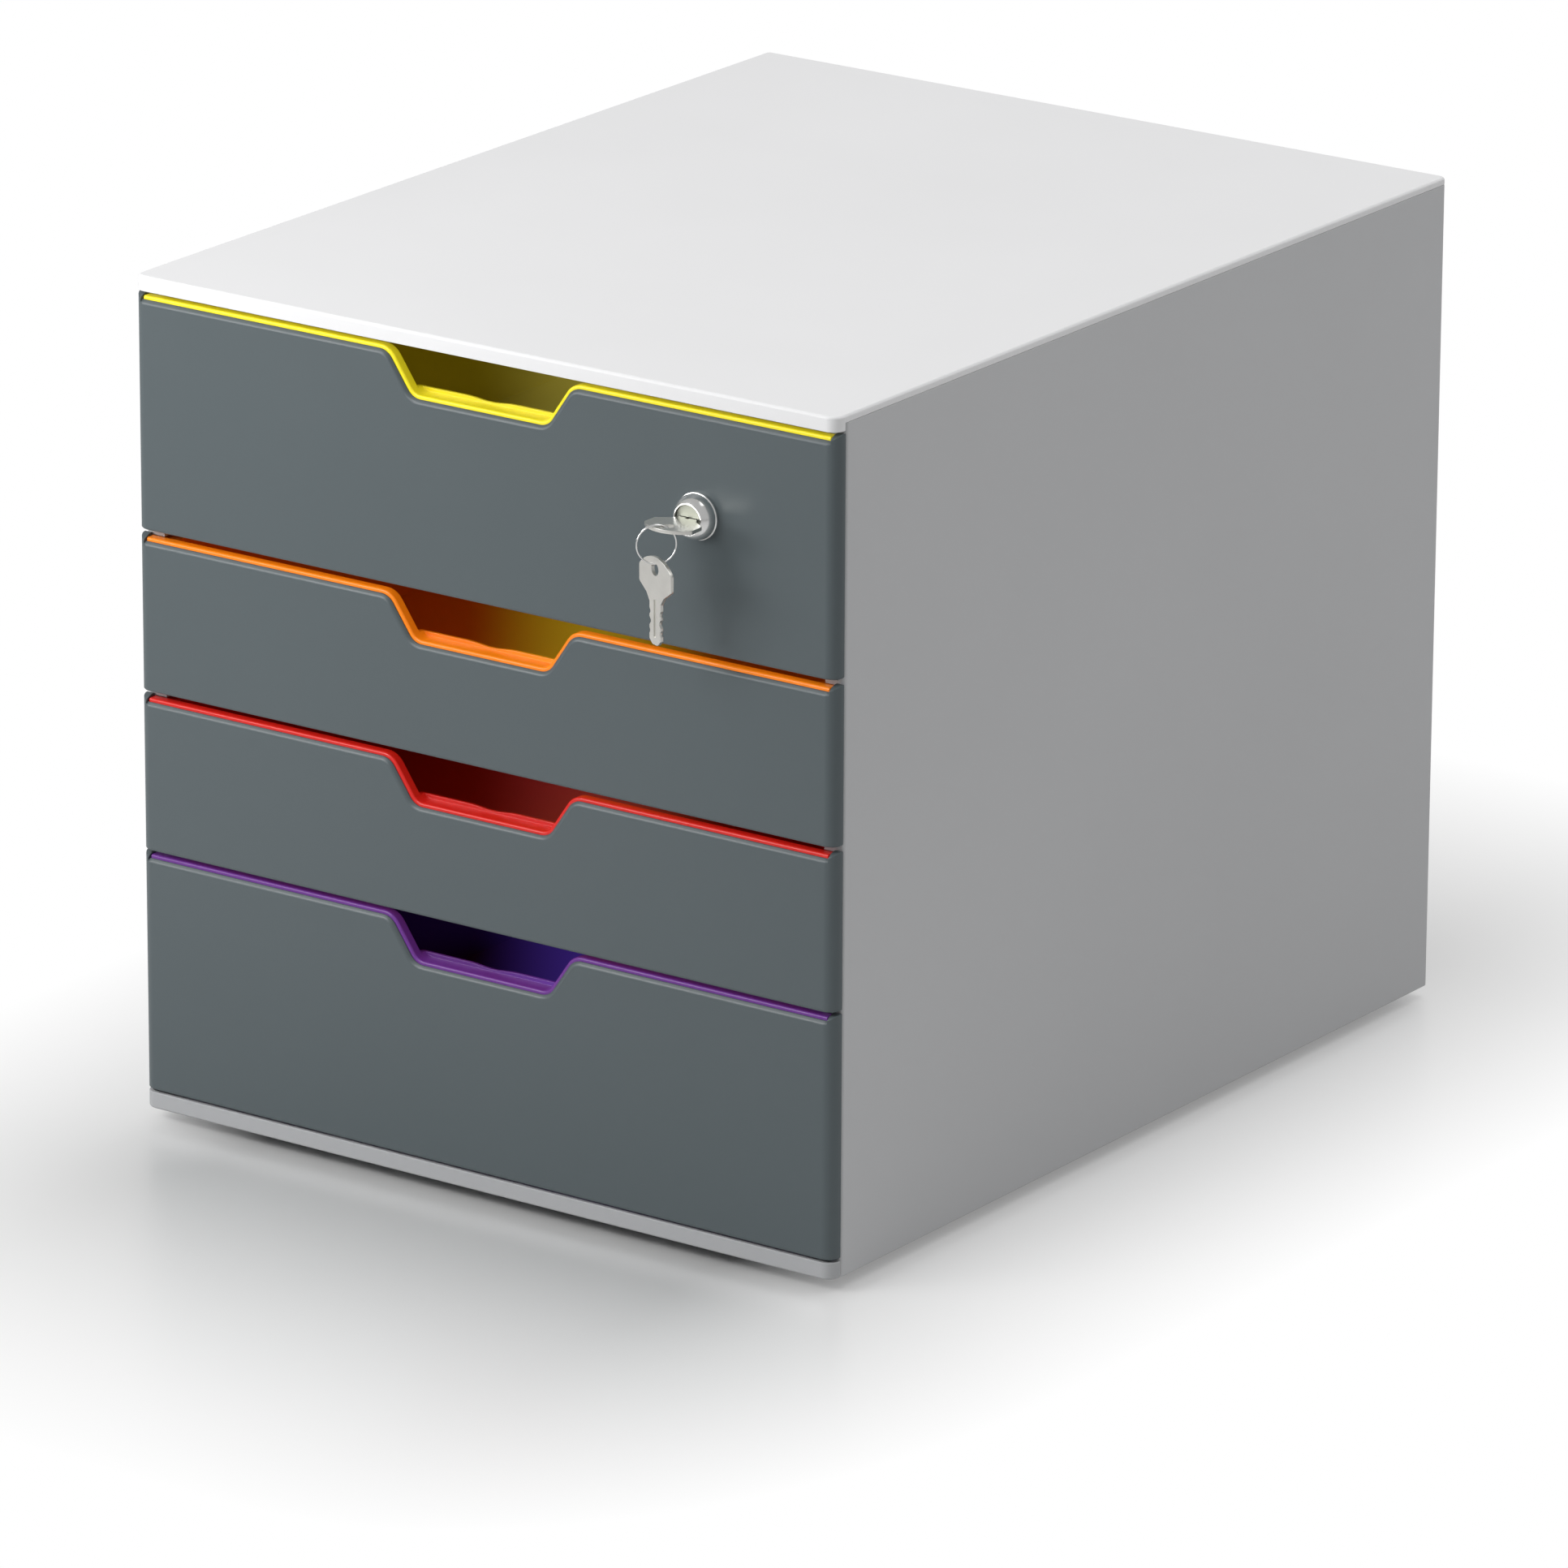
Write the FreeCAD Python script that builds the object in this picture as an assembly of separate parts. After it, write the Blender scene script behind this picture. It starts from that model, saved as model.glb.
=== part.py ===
import FreeCAD, Part
import math
import os
from FreeCAD import Matrix, Vector

# A desktop drawer box. A moulded housing on four rubber feet holds four trays that slide out
# to the front on side rails. Each tray is one coloured moulding with a grey front clipped to it
# and a finger cut-out in its rim. The top front carries a cam lock, whose cam turns up behind
# a strike under the cover, with its key, a key ring and a spare key.
# X runs to the right, Y to the back and Z up, in millimetres, and the floor is at zero height.
# The pieces are modelled with the fronts' face at Y zero and moved back at the end.

# Overall size and the stack of fronts, listed from the top drawer down
WIDTH = 280.0
DEPTH = 356.0
HEIGHT = 292.0
FOOT_HEIGHT = 4.4
BASE_STRIP_HEIGHT = 5.8
COVER_STRIP_HEIGHT = 5.2
BASE_GAP = 0.8
FRONT_GAPS = (0.9, 2.1, 1.9, 0.9)
FRONT_SHARES = (0.297, 0.1978, 0.1978, 0.3074)

# Housing
WALL_THICKNESS = 2.6
COVER_THICKNESS = 2.6
BASE_THICKNESS = 2.6
BACK_THICKNESS = 2.4
STRIP_DEPTH = 4.8
CORNER_RADIUS = 4.4
WALL_SEAM = 0.5
WALL_EDGE_RADIUS = 1.3
BACK_CORNER_RADIUS = 2.2
COVER_CHAMFER = 0.7
BASE_CHAMFER = 0.5
LIP_THICKNESS = 1.6
LIP_FIT = 0.1
RIB_THICKNESS = 1.6
RIB_HEIGHT = 2.0
RIB_SPACING = 88.0
FOOT_RADIUS = 7.5
FOOT_SINK = 1.0
FOOT_INSET_X = 20.0
FOOT_INSET_FRONT = 24.0
FOOT_INSET_BACK = 22.0

# Rails on the side walls, and the drawers' travel on them
RAIL_WIDTH = 6.4
RAIL_THICKNESS = 2.2
GUIDE_WIDTH = 5.0
GUIDE_THICKNESS = 1.6
RUN_GAP = 0.3
GUIDE_GAP = 1.2
NUB_HEIGHT = 0.9
NUB_LENGTH = 6.0
NUB_WIDTH = 3.0
NUB_INSET = 2.0
TRAVEL = 250.0
STOP_PLAY = 0.5

# Fronts, with their returned ends and the finger cut-out
FRONT_THICKNESS = 2.4
RETURN_THICKNESS = 2.8
RIM_DROP = 2.0
RIM_WIDTH = 1.25
RIM_CHAMFER = 1.0
POST_SLOPE_DEPTH = 4.0
POST_SLOPE_BULGE = 0.35
FRONT_CHAMFER = 0.5
CUT_TOP_WIDTH = 74.0
CUT_BOTTOM_WIDTH = 54.0
CUT_DEPTH = 14.5
CUT_RADIUS = 6.0
CLIP_WIDTH = 9.0
CLIP_THICKNESS = 2.6
CLIP_PLAY = 0.05
CLIP_FROM_SIDE = 20.0
CLIP_ABOVE_EDGE = 12.0
CLIP_BELOW_RIM = 12.0

# Trays
RIM_PROUD = 1.2
LEDGE_THICKNESS = 1.8
LEDGE_WIDTH = 1.6
LEDGE_FIT = 0.1
LEDGE_CHAMFER = 0.45
TRAY_WALL = 1.8
FLOOR_THICKNESS = 2.0
FLOOR_RISE = 1.0
TRAY_TAPER = 2.0
TRAY_CORNER_RADIUS = 6.0
SIDE_PLAY = 0.6
FLANGE_PLAY = 0.7
BACK_PLAY = 4.0
BACK_DROP = 8.0
BACK_DROP_RADIUS = 4.0
BACK_SHOULDER = 16.0
STEP_REACH = 3.3
STEP_THICKNESS = 1.2
STEP_HEIGHT = 1.4
STEP_DIP = 0.7
STEP_DIP_WIDTH = 20.0

# Cam lock in the top front
LOCK_FROM_SIDE = 53.2
LOCK_BELOW_TOP = 35.1
BEZEL_OUT = 6.0
BEZEL_RADIUS = 7.9
BEZEL_EDGE = 1.1
BEZEL_STEP = 0.35
BEZEL_FACE_RADIUS = 5.4
DOME_STEPS = 2
BARREL_RADIUS = 6.0
BARREL_PLAY = 0.1
BARREL_FLAT = 5.3
BARREL_LENGTH = 16.0
BOSS_RADIUS = 9.5
PLUG_RADIUS = 4.3
PLUG_PLAY = 0.05
HEAD_RADIUS = 4.85
HEAD_PLAY = 0.1
HEAD_RECESS = 0.8
HEAD_LENGTH = 1.95
POST_SQUARE = 6.0
NUT_SIDES = 6
NUT_ACROSS_FLATS = 16.0
NUT_THICKNESS = 3.0
CAM_THICKNESS = 1.8
CAM_GAP = 0.2
CAM_WIDTH = 11.0
CAM_REACH = 34.0
CAM_EYE_RADIUS = 7.0
SCREW_HEAD_RADIUS = 3.4
SCREW_HEAD_HEIGHT = 2.0
SCREW_RADIUS = 1.5
SCREW_END_WALL = 1.0
SCREW_SLOT = 0.8
SCREW_SLOT_DEPTH = 1.0
STRIKE_WIDTH = 16.0
STRIKE_THICKNESS = 1.5
STRIKE_FOOT = 5.0
STRIKE_DROP = 11.4
STRIKE_CAM_GAP = 0.7
STAKE_RADIUS = 1.1
STAKE_PLAY = 0.05
STAKE_HEAD_RADIUS = 1.6
STAKE_HEAD = 0.8
STAKE_SPACING = 9.0
STAKE_SETBACK = 1.8
STRIKE_CLEARANCE = 1.0

# Keys and ring
KEY_THICKNESS = 1.2
KEY_LENGTH = 29.0
KEY_BOW_WIDTH = 18.5
KEY_BOW_SAG = 4.2
KEY_SIDE_END = 9.8
KEY_NECK_START = 12.6
KEY_NECK_WIDTH = 10.0
KEY_BLADE_START = 15.2
KEY_BLADE_WIDTH = 6.4
KEY_TIP_START = 27.4
KEY_TIP_WIDTH = 2.4
KEY_CORNER_RADIUS = 1.2
KEY_HOLE_INSET = 4.1
KEY_HOLE_RADIUS = 2.1
KEY_PLAY = 0.1
KEY_GROOVE_WIDTH = 1.3
KEY_GROOVE_DEPTH = 0.35
KEY_GROOVE_END = 26.0
NOTCH_DEPTHS = (0.5, 0.8, 0.4)
NOTCH_WIDTH = 1.6
NOTCH_SPACING = 3.2
RING_RADIUS = 6.5
RING_WIRE = 0.4
WIRE_SIDES = 6
RING_HANG_GAP = 0.08
RING_TURN = 45.0
SPARE_TURN = -21.5

# Every cut runs past its solid by this much, and two places closer than this share of the
# width count as one
OVERRUN = 5.0
SNAP_SHARE = 1e-7

# Places that follow from the sizes above
HALF = WIDTH / 2
HALF_INSIDE = HALF - WALL_THICKNESS
FRONTS_ROOM = (HEIGHT - FOOT_HEIGHT - BASE_STRIP_HEIGHT - BASE_GAP - sum(FRONT_GAPS)
               - COVER_STRIP_HEIGHT)
WALL_FRONT = STRIP_DEPTH + WALL_SEAM
WALL_TOP = HEIGHT - COVER_THICKNESS
BACK_INSIDE = DEPTH - BACK_THICKNESS
LEDGE_FRONT = RIM_WIDTH + LEDGE_FIT
TRAY_FRONT = LEDGE_FRONT + LEDGE_WIDTH
TRAY_WALL_BACK = TRAY_FRONT + TRAY_WALL
STEP_BACK = TRAY_WALL_BACK + STEP_REACH
TRAY_BACK = BACK_INSIDE - BACK_PLAY
TRAY_HALF = HALF_INSIDE - RAIL_WIDTH - SIDE_PLAY
FLANGE_HALF = HALF_INSIDE - FLANGE_PLAY
RECESS_HALF = HALF - RETURN_THICKNESS
PLUG_FACE = HEAD_RECESS - BEZEL_OUT
HEAD_BACK = PLUG_FACE + HEAD_LENGTH
CAM_FRONT = BARREL_LENGTH + CAM_GAP
CAM_BACK = CAM_FRONT + CAM_THICKNESS
STRIKE_BACK = CAM_FRONT - STRIKE_CAM_GAP
BOW_END = PLUG_FACE - KEY_PLAY - KEY_BLADE_START
KEYWAY_END = BOW_END + KEY_LENGTH + KEY_CORNER_RADIUS
SCREW_TIP = KEYWAY_END + SCREW_END_WALL


def front_levels():
    """Bottom and top height of each front, from the top drawer down."""
    levels = []
    top = HEIGHT - COVER_STRIP_HEIGHT
    for gap, share in zip(FRONT_GAPS, FRONT_SHARES):
        top = top - gap
        low = top - FRONTS_ROOM * share
        levels.append((low, top))
        top = low
    return levels


LEVELS = front_levels()
LOCK_X = HALF - LOCK_FROM_SIDE
LOCK_HEIGHT = LEVELS[0][1] - LOCK_BELOW_TOP


def box(x0, x1, y0, y1, z0, z1):
    """Block between two corners."""
    return Part.makeBox(x1 - x0, y1 - y0, z1 - z0, Vector(x0, y0, z0))


def mirrored(shape):
    """The same shape on the other side of the middle."""
    return shape.mirror(Vector(0, 0, 0), Vector(1, 0, 0))


def rounded_face(points, radii):
    """Face inside a closed loop of points, with each corner rounded by its radius."""
    count = len(points)
    starts, ends, middles = [], [], []
    for index, (point, radius) in enumerate(zip(points, radii)):
        before = points[index - 1] - point
        after = points[(index + 1) % count] - point
        before.normalize()
        after.normalize()
        half_angle = before.getAngle(after) / 2
        run = radius / math.tan(half_angle) if radius else 0
        starts.append(point + before * run)
        ends.append(point + after * run)
        bisector = before + after
        bisector.normalize()
        middles.append(point + bisector * (radius / math.sin(half_angle) - radius))
    edges = []
    for index in range(count):
        if radii[index]:
            edges.append(Part.Arc(starts[index], middles[index], ends[index]).toShape())
        following = starts[(index + 1) % count]
        if ends[index].distanceToPoint(following) > 0:
            edges.append(Part.makeLine(ends[index], following))
    return Part.Face(Part.Wire(edges))


def plan_prism(points, radii, z0, z1):
    """Outline seen from above, raised between two heights."""
    face = rounded_face([Vector(x, y, z0) for x, y in points], radii)
    return face.extrude(Vector(0, 0, z1 - z0))


def front_prism(points, radii, y0, y1):
    """Outline seen from the front, run between two depths."""
    face = rounded_face([Vector(x, y0, z) for x, z in points], radii)
    return face.extrude(Vector(0, y1 - y0, 0))


def side_prism(points, x0, x1):
    """Sharp outline seen from the side, run between two places across."""
    face = rounded_face([Vector(x0, y, z) for y, z in points], [0] * len(points))
    return face.extrude(Vector(x1 - x0, 0, 0))


def rod(radius, x, z, y0, y1):
    """Round bar from front to back."""
    return Part.makeCylinder(radius, y1 - y0, Vector(x, y0, z), Vector(0, 1, 0))


def upright(radius, x, y, z0, z1):
    """Round bar from a lower to an upper height."""
    return Part.makeCylinder(radius, z1 - z0, Vector(x, y, z0))


def turned(points, x, z):
    """Solid turned about a front-to-back axis, from (radius, depth) points."""
    places = [Vector(x + radius, depth, z) for radius, depth in points]
    face = Part.Face(Part.makePolygon(places + places[:1]))
    return face.revolve(Vector(x, 0, z), Vector(0, 1, 0), 360)


def edges_where(shape, test):
    """Edges whose middle and ends all pass a test on the point."""
    chosen = []
    for edge in shape.Edges:
        first, last = edge.ParameterRange
        places = [edge.valueAt(first), edge.valueAt((first + last) / 2), edge.valueAt(last)]
        if all(test(place) for place in places):
            chosen.append(edge)
    return chosen


def near(value, target):
    """True for two places that are the same within the modelling tolerance."""
    return math.isclose(value, target, rel_tol=0, abs_tol=WIDTH * SNAP_SHARE)


def strip_outline():
    """Channel seen from above: the face of a front with its two returned ends."""
    inner = HALF - RETURN_THICKNESS
    points = [(-HALF, STRIP_DEPTH), (-HALF, 0), (HALF, 0), (HALF, STRIP_DEPTH),
              (inner, STRIP_DEPTH), (inner, FRONT_THICKNESS),
              (-inner, FRONT_THICKNESS), (-inner, STRIP_DEPTH)]
    radii = [0, CORNER_RADIUS, CORNER_RADIUS, 0, 0, 0, 0, 0]
    return points, radii


def housing_outline(back):
    """Full width of the housing seen from above, with rounded front corners."""
    radius = BACK_CORNER_RADIUS if near(back, DEPTH) else 0
    points = [(-HALF, 0), (HALF, 0), (HALF, back), (-HALF, back)]
    return points, [CORNER_RADIUS, CORNER_RADIUS, radius, radius]


def inner_lip(z0, z1):
    """Frame that stands just inside the walls and locates them."""
    outer = HALF_INSIDE - LIP_FIT
    inner = outer - LIP_THICKNESS
    back = BACK_INSIDE - LIP_FIT
    frame = box(-outer, outer, WALL_FRONT, back, z0, z1)
    return frame.cut(box(-inner, inner, WALL_FRONT + LIP_THICKNESS, back - LIP_THICKNESS,
                         z0 - OVERRUN, z1 + OVERRUN))


def stiffening_ribs(z0, z1):
    """Ribs from side to side on the hidden face of the cover and of the base."""
    reach = HALF_INSIDE - LIP_FIT - LIP_THICKNESS / 2
    front = WALL_FRONT + LIP_THICKNESS / 2
    back = BACK_INSIDE - LIP_FIT - LIP_THICKNESS / 2
    count = int((back - front) / RIB_SPACING)
    ribs = []
    for index in range(1, count + 1):
        y = front + (back - front) * index / (count + 1)
        ribs.append(box(-reach, reach, y - RIB_THICKNESS / 2, y + RIB_THICKNESS / 2, z0, z1))
    return Part.makeCompound(ribs)


def stake_places():
    """Centres of the two moulded pins that hold the strike under the cover."""
    y = STRIKE_BACK - STRIKE_THICKNESS - STAKE_SETBACK
    half = STAKE_SPACING / 2
    return [(LOCK_X - half, y), (LOCK_X + half, y)]


def top_cover():
    """Flat cover with a deeper front strip, a locating lip and ribs underneath."""
    points, radii = housing_outline(DEPTH)
    plate = plan_prism(points, radii, WALL_TOP, HEIGHT)
    rim = edges_where(plate, lambda place: near(place.z, HEIGHT))
    plate = plate.makeChamfer(COVER_CHAMFER, rim)
    points, radii = strip_outline()
    strip = plan_prism(points, radii, HEIGHT - COVER_STRIP_HEIGHT, WALL_TOP)
    lip = inner_lip(HEIGHT - COVER_STRIP_HEIGHT, WALL_TOP)
    half = STRIKE_WIDTH / 2 + STRIKE_CLEARANCE
    ribs = stiffening_ribs(WALL_TOP - RIB_HEIGHT, WALL_TOP)
    ribs = ribs.cut(box(LOCK_X - half, LOCK_X + half,
                        STRIKE_BACK - STRIKE_FOOT - STRIKE_CLEARANCE,
                        CAM_BACK + STRIKE_CLEARANCE, WALL_TOP - STRIKE_DROP, WALL_TOP))
    stakes = []
    for x, y in stake_places():
        stakes.append(upright(STAKE_RADIUS, x, y, WALL_TOP - STRIKE_THICKNESS, WALL_TOP))
        stakes.append(upright(STAKE_HEAD_RADIUS, x, y, WALL_TOP - STRIKE_THICKNESS - STAKE_HEAD,
                              WALL_TOP - STRIKE_THICKNESS))
    return plate.multiFuse([strip, lip] + ribs.Solids + stakes).removeSplitter()


def foot_places():
    """Name and centre of each foot."""
    x = HALF - FOOT_INSET_X
    places = {}
    for end, y in (("front", FOOT_INSET_FRONT), ("back", DEPTH - FOOT_INSET_BACK)):
        places["foot_" + end + "_left"] = (-x, y)
        places["foot_" + end + "_right"] = (x, y)
    return places


def foot(x, y):
    """Round rubber foot, set into the base."""
    return upright(FOOT_RADIUS, x, y, 0, FOOT_HEIGHT + FOOT_SINK)


def base_plate():
    """Base between the side walls, with the full-width front strip and the foot sockets."""
    floor = FOOT_HEIGHT + BASE_THICKNESS
    top = FOOT_HEIGHT + BASE_STRIP_HEIGHT
    points, radii = housing_outline(STRIP_DEPTH)
    nose = plan_prism(points, radii, FOOT_HEIGHT, floor)
    points, radii = strip_outline()
    strip = plan_prism(points, radii, floor, top)
    strip = strip.fuse(nose).removeSplitter()
    under = edges_where(strip, lambda place: near(place.z, FOOT_HEIGHT)
                        and place.y < STRIP_DEPTH and not near(place.y, STRIP_DEPTH))
    front_edges = [edge for edge in under if not near(edge.BoundBox.YMax, STRIP_DEPTH)]
    strip = strip.makeChamfer(BASE_CHAMFER, front_edges)
    reach = HALF_INSIDE - LIP_FIT
    plate = box(-reach, reach, FRONT_THICKNESS, BACK_INSIDE - LIP_FIT, FOOT_HEIGHT, floor)
    lip = inner_lip(floor, top)
    ribs = stiffening_ribs(floor, floor + RIB_HEIGHT)
    body = strip.multiFuse([plate, lip] + ribs.Solids).removeSplitter()
    for x, y in foot_places().values():
        body = body.cut(upright(FOOT_RADIUS, x, y, 0, FOOT_HEIGHT + FOOT_SINK))
    return body


def rim_level(index):
    """Height of a tray's rim."""
    return LEVELS[index][1] - RIM_DROP


def side_wall_right():
    """Side wall with a rail under each tray's flange and a guide above it."""
    wall = box(HALF_INSIDE, HALF, WALL_FRONT, DEPTH, FOOT_HEIGHT, WALL_TOP)
    front = edges_where(wall, lambda place: near(place.x, HALF) and near(place.y, WALL_FRONT))
    wall = wall.makeFillet(WALL_EDGE_RADIUS, front)
    back = edges_where(wall, lambda place: near(place.x, HALF) and near(place.y, DEPTH))
    wall = wall.makeFillet(BACK_CORNER_RADIUS, back)
    parts = []
    for index in range(len(LEVELS)):
        level = rim_level(index)
        rail_top = level - LEDGE_THICKNESS - RUN_GAP
        parts.append(box(HALF_INSIDE - RAIL_WIDTH, HALF_INSIDE, WALL_FRONT, BACK_INSIDE,
                         rail_top - RAIL_THICKNESS, rail_top))
        guide = level + GUIDE_GAP
        parts.append(box(HALF_INSIDE - GUIDE_WIDTH, HALF_INSIDE, WALL_FRONT, BACK_INSIDE,
                         guide, guide + GUIDE_THICKNESS))
        stop = WALL_FRONT + NUB_INSET
        ramp = [(stop, guide), (stop + NUB_LENGTH, guide),
                (stop + NUB_LENGTH, guide - NUB_HEIGHT),
                (stop + NUB_LENGTH / 2, guide - NUB_HEIGHT)]
        parts.append(side_prism(ramp, HALF_INSIDE - GUIDE_WIDTH, HALF_INSIDE))
    return wall.multiFuse(parts).removeSplitter()


def back_wall():
    """Plain back between the side walls, with upright ribs inside."""
    wall = box(-HALF_INSIDE, HALF_INSIDE, BACK_INSIDE, DEPTH, FOOT_HEIGHT, WALL_TOP)
    low = FOOT_HEIGHT + BASE_STRIP_HEIGHT
    high = HEIGHT - COVER_STRIP_HEIGHT
    count = int(WIDTH / RIB_SPACING)
    ribs = []
    for index in range(1, count + 1):
        x = -HALF_INSIDE + 2 * HALF_INSIDE * index / (count + 1)
        ribs.append(box(x - RIB_THICKNESS / 2, x + RIB_THICKNESS / 2,
                        BACK_INSIDE - RIB_HEIGHT, BACK_INSIDE, low, high))
    return wall.multiFuse(ribs).removeSplitter()


def open_region(level, grow, half, y0, y1):
    """Space above a rim and in its finger cut-out, grown into the material by an offset."""
    run = (CUT_TOP_WIDTH - CUT_BOTTOM_WIDTH) / 2
    shift = grow * (math.hypot(run, CUT_DEPTH) - run) / CUT_DEPTH
    upper = CUT_TOP_WIDTH / 2 + shift
    lower = CUT_BOTTOM_WIDTH / 2 + shift
    rim = level - grow
    bottom = level - CUT_DEPTH - grow
    ceiling = level + OVERRUN
    points = [(-half, ceiling), (-half, rim), (-upper, rim), (-lower, bottom),
              (lower, bottom), (upper, rim), (half, rim), (half, ceiling)]
    radii = [0, 0, CUT_RADIUS - grow, CUT_RADIUS + grow,
             CUT_RADIUS + grow, CUT_RADIUS - grow, 0, 0]
    return front_prism(points, radii, y0, y1)


def post_slope(level, top):
    """Cutter that slopes the tops of a front's end posts down to its face."""
    foot_point = Vector(0, 0, level)
    head_point = Vector(0, POST_SLOPE_DEPTH, top)
    along = head_point - foot_point
    outward = Vector(0, -along.z, along.y)
    outward.normalize()
    middle = (foot_point + head_point) / 2 + outward * POST_SLOPE_BULGE
    corner_low = Vector(0, -OVERRUN, level)
    corner_high = Vector(0, -OVERRUN, top + OVERRUN)
    corner_back = Vector(0, POST_SLOPE_DEPTH, top + OVERRUN)
    edges = [Part.Arc(foot_point, middle, head_point).toShape(),
             Part.makeLine(head_point, corner_back), Part.makeLine(corner_back, corner_high),
             Part.makeLine(corner_high, corner_low), Part.makeLine(corner_low, foot_point)]
    face = Part.Face(Part.Wire(edges))
    face.translate(Vector(-HALF - OVERRUN, 0, 0))
    return face.extrude(Vector(WIDTH + 2 * OVERRUN, 0, 0))


def clips(index, play, y0, y1):
    """The four flat clips that hold a front to its tray, or with play the slots for them."""
    low = LEVELS[index][0] + CLIP_ABOVE_EDGE
    high = rim_level(index) - CLIP_BELOW_RIM
    x = TRAY_HALF - CLIP_FROM_SIDE
    wide = CLIP_WIDTH / 2 + play
    tall = CLIP_THICKNESS / 2 + play
    bars = [box(x - wide, x + wide, y0, y1, z - tall, z + tall) for z in (low, high)]
    return bars + [mirrored(bar) for bar in bars]


def drawer_front(index):
    """Grey front: a shell with returned ends that rise past the coloured rim."""
    low, top = LEVELS[index]
    level = rim_level(index)
    points, radii = strip_outline()
    shell = plan_prism(points, radii, low, top)
    everywhere = HALF + OVERRUN
    lower = shell.cut(open_region(level, 0, everywhere, -OVERRUN, STRIP_DEPTH + OVERRUN))
    rim = edges_where(lower, lambda place: place.z > level - CUT_DEPTH - RIM_CHAMFER
                      and place.y < CORNER_RADIUS and not near(place.y, CORNER_RADIUS))
    rim = [edge for edge in rim if abs(edge.tangentAt(edge.FirstParameter).y) < 1
           and not near(edge.BoundBox.ZMin, low)
           and near(edge.BoundBox.YMin, 0) and edge.BoundBox.ZMax < level + RIM_CHAMFER]
    lower = lower.makeChamfer(RIM_CHAMFER, rim)
    bottom = edges_where(lower, lambda place: near(place.z, low) and place.y < FRONT_THICKNESS
                         and abs(place.x) < HALF)
    bottom = [edge for edge in bottom if near(edge.BoundBox.YMin, 0)]
    lower = lower.makeChamfer(FRONT_CHAMFER, bottom)
    ends = box(-everywhere, -RECESS_HALF, -OVERRUN, everywhere, low - OVERRUN, top + OVERRUN)
    posts = shell.common(ends.fuse(mirrored(ends)))
    posts = posts.cut(box(-everywhere, everywhere, -OVERRUN, everywhere,
                          low - OVERRUN, level - CUT_DEPTH))
    posts = posts.cut(post_slope(level, top))
    front = lower.fuse(posts).removeSplitter()
    rebate = open_region(level, LEDGE_THICKNESS + LEDGE_FIT, RECESS_HALF,
                         RIM_WIDTH, STRIP_DEPTH + OVERRUN)
    front = front.cut(rebate)
    front = front.multiFuse(clips(index, 0, FRONT_THICKNESS / 2, TRAY_WALL_BACK)).removeSplitter()
    if index == 0:
        front = front.fuse(rod(BOSS_RADIUS, LOCK_X, LOCK_HEIGHT,
                               FRONT_THICKNESS / 2, TRAY_FRONT)).removeSplitter()
        front = front.cut(rod(BARREL_RADIUS + BARREL_PLAY, LOCK_X, LOCK_HEIGHT,
                              -OVERRUN, TRAY_WALL_BACK))
    return front


def tapered_box(half, front, back, bottom, top, taper):
    """Box whose sides and back lean out by the taper from bottom to top."""
    rings = []
    for height, inset in ((bottom, taper), (top, 0)):
        x, y = half - inset, back - inset
        rings.append([Vector(-x, front, height), Vector(x, front, height),
                      Vector(x, y, height), Vector(-x, y, height)])
    low, high = rings
    loops = [low[::-1], high]
    for index in range(len(low)):
        following = (index + 1) % len(low)
        loops.append([low[index], low[following], high[following], high[index]])
    faces = [Part.Face(Part.makePolygon(loop + loop[:1])) for loop in loops]
    return Part.Solid(Part.Shell(faces))


def tray_box(radius, half, front, back, bottom, top, taper):
    """Tapered box with its four upright edges rounded."""
    body = tapered_box(half, front, back, bottom, top, taper)
    corners = [edge for edge in body.Edges if not near(edge.BoundBox.ZMax, edge.BoundBox.ZMin)]
    return body.makeFillet(radius, corners)


def tray_shell(floor, level):
    """Thin open box of a tray, whose sides and back lean out to its rim."""
    slope = TRAY_TAPER / (level - floor)
    seat = floor + FLOOR_THICKNESS
    mouth = level + OVERRUN
    outer = tray_box(TRAY_CORNER_RADIUS, TRAY_HALF, TRAY_FRONT, TRAY_BACK,
                     floor, level, TRAY_TAPER)
    widen = slope * OVERRUN - TRAY_WALL
    inner = tray_box(TRAY_CORNER_RADIUS - TRAY_WALL, TRAY_HALF + widen, TRAY_WALL_BACK,
                     TRAY_BACK + widen, seat, mouth, slope * (mouth - seat))
    return outer.cut(inner)


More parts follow.
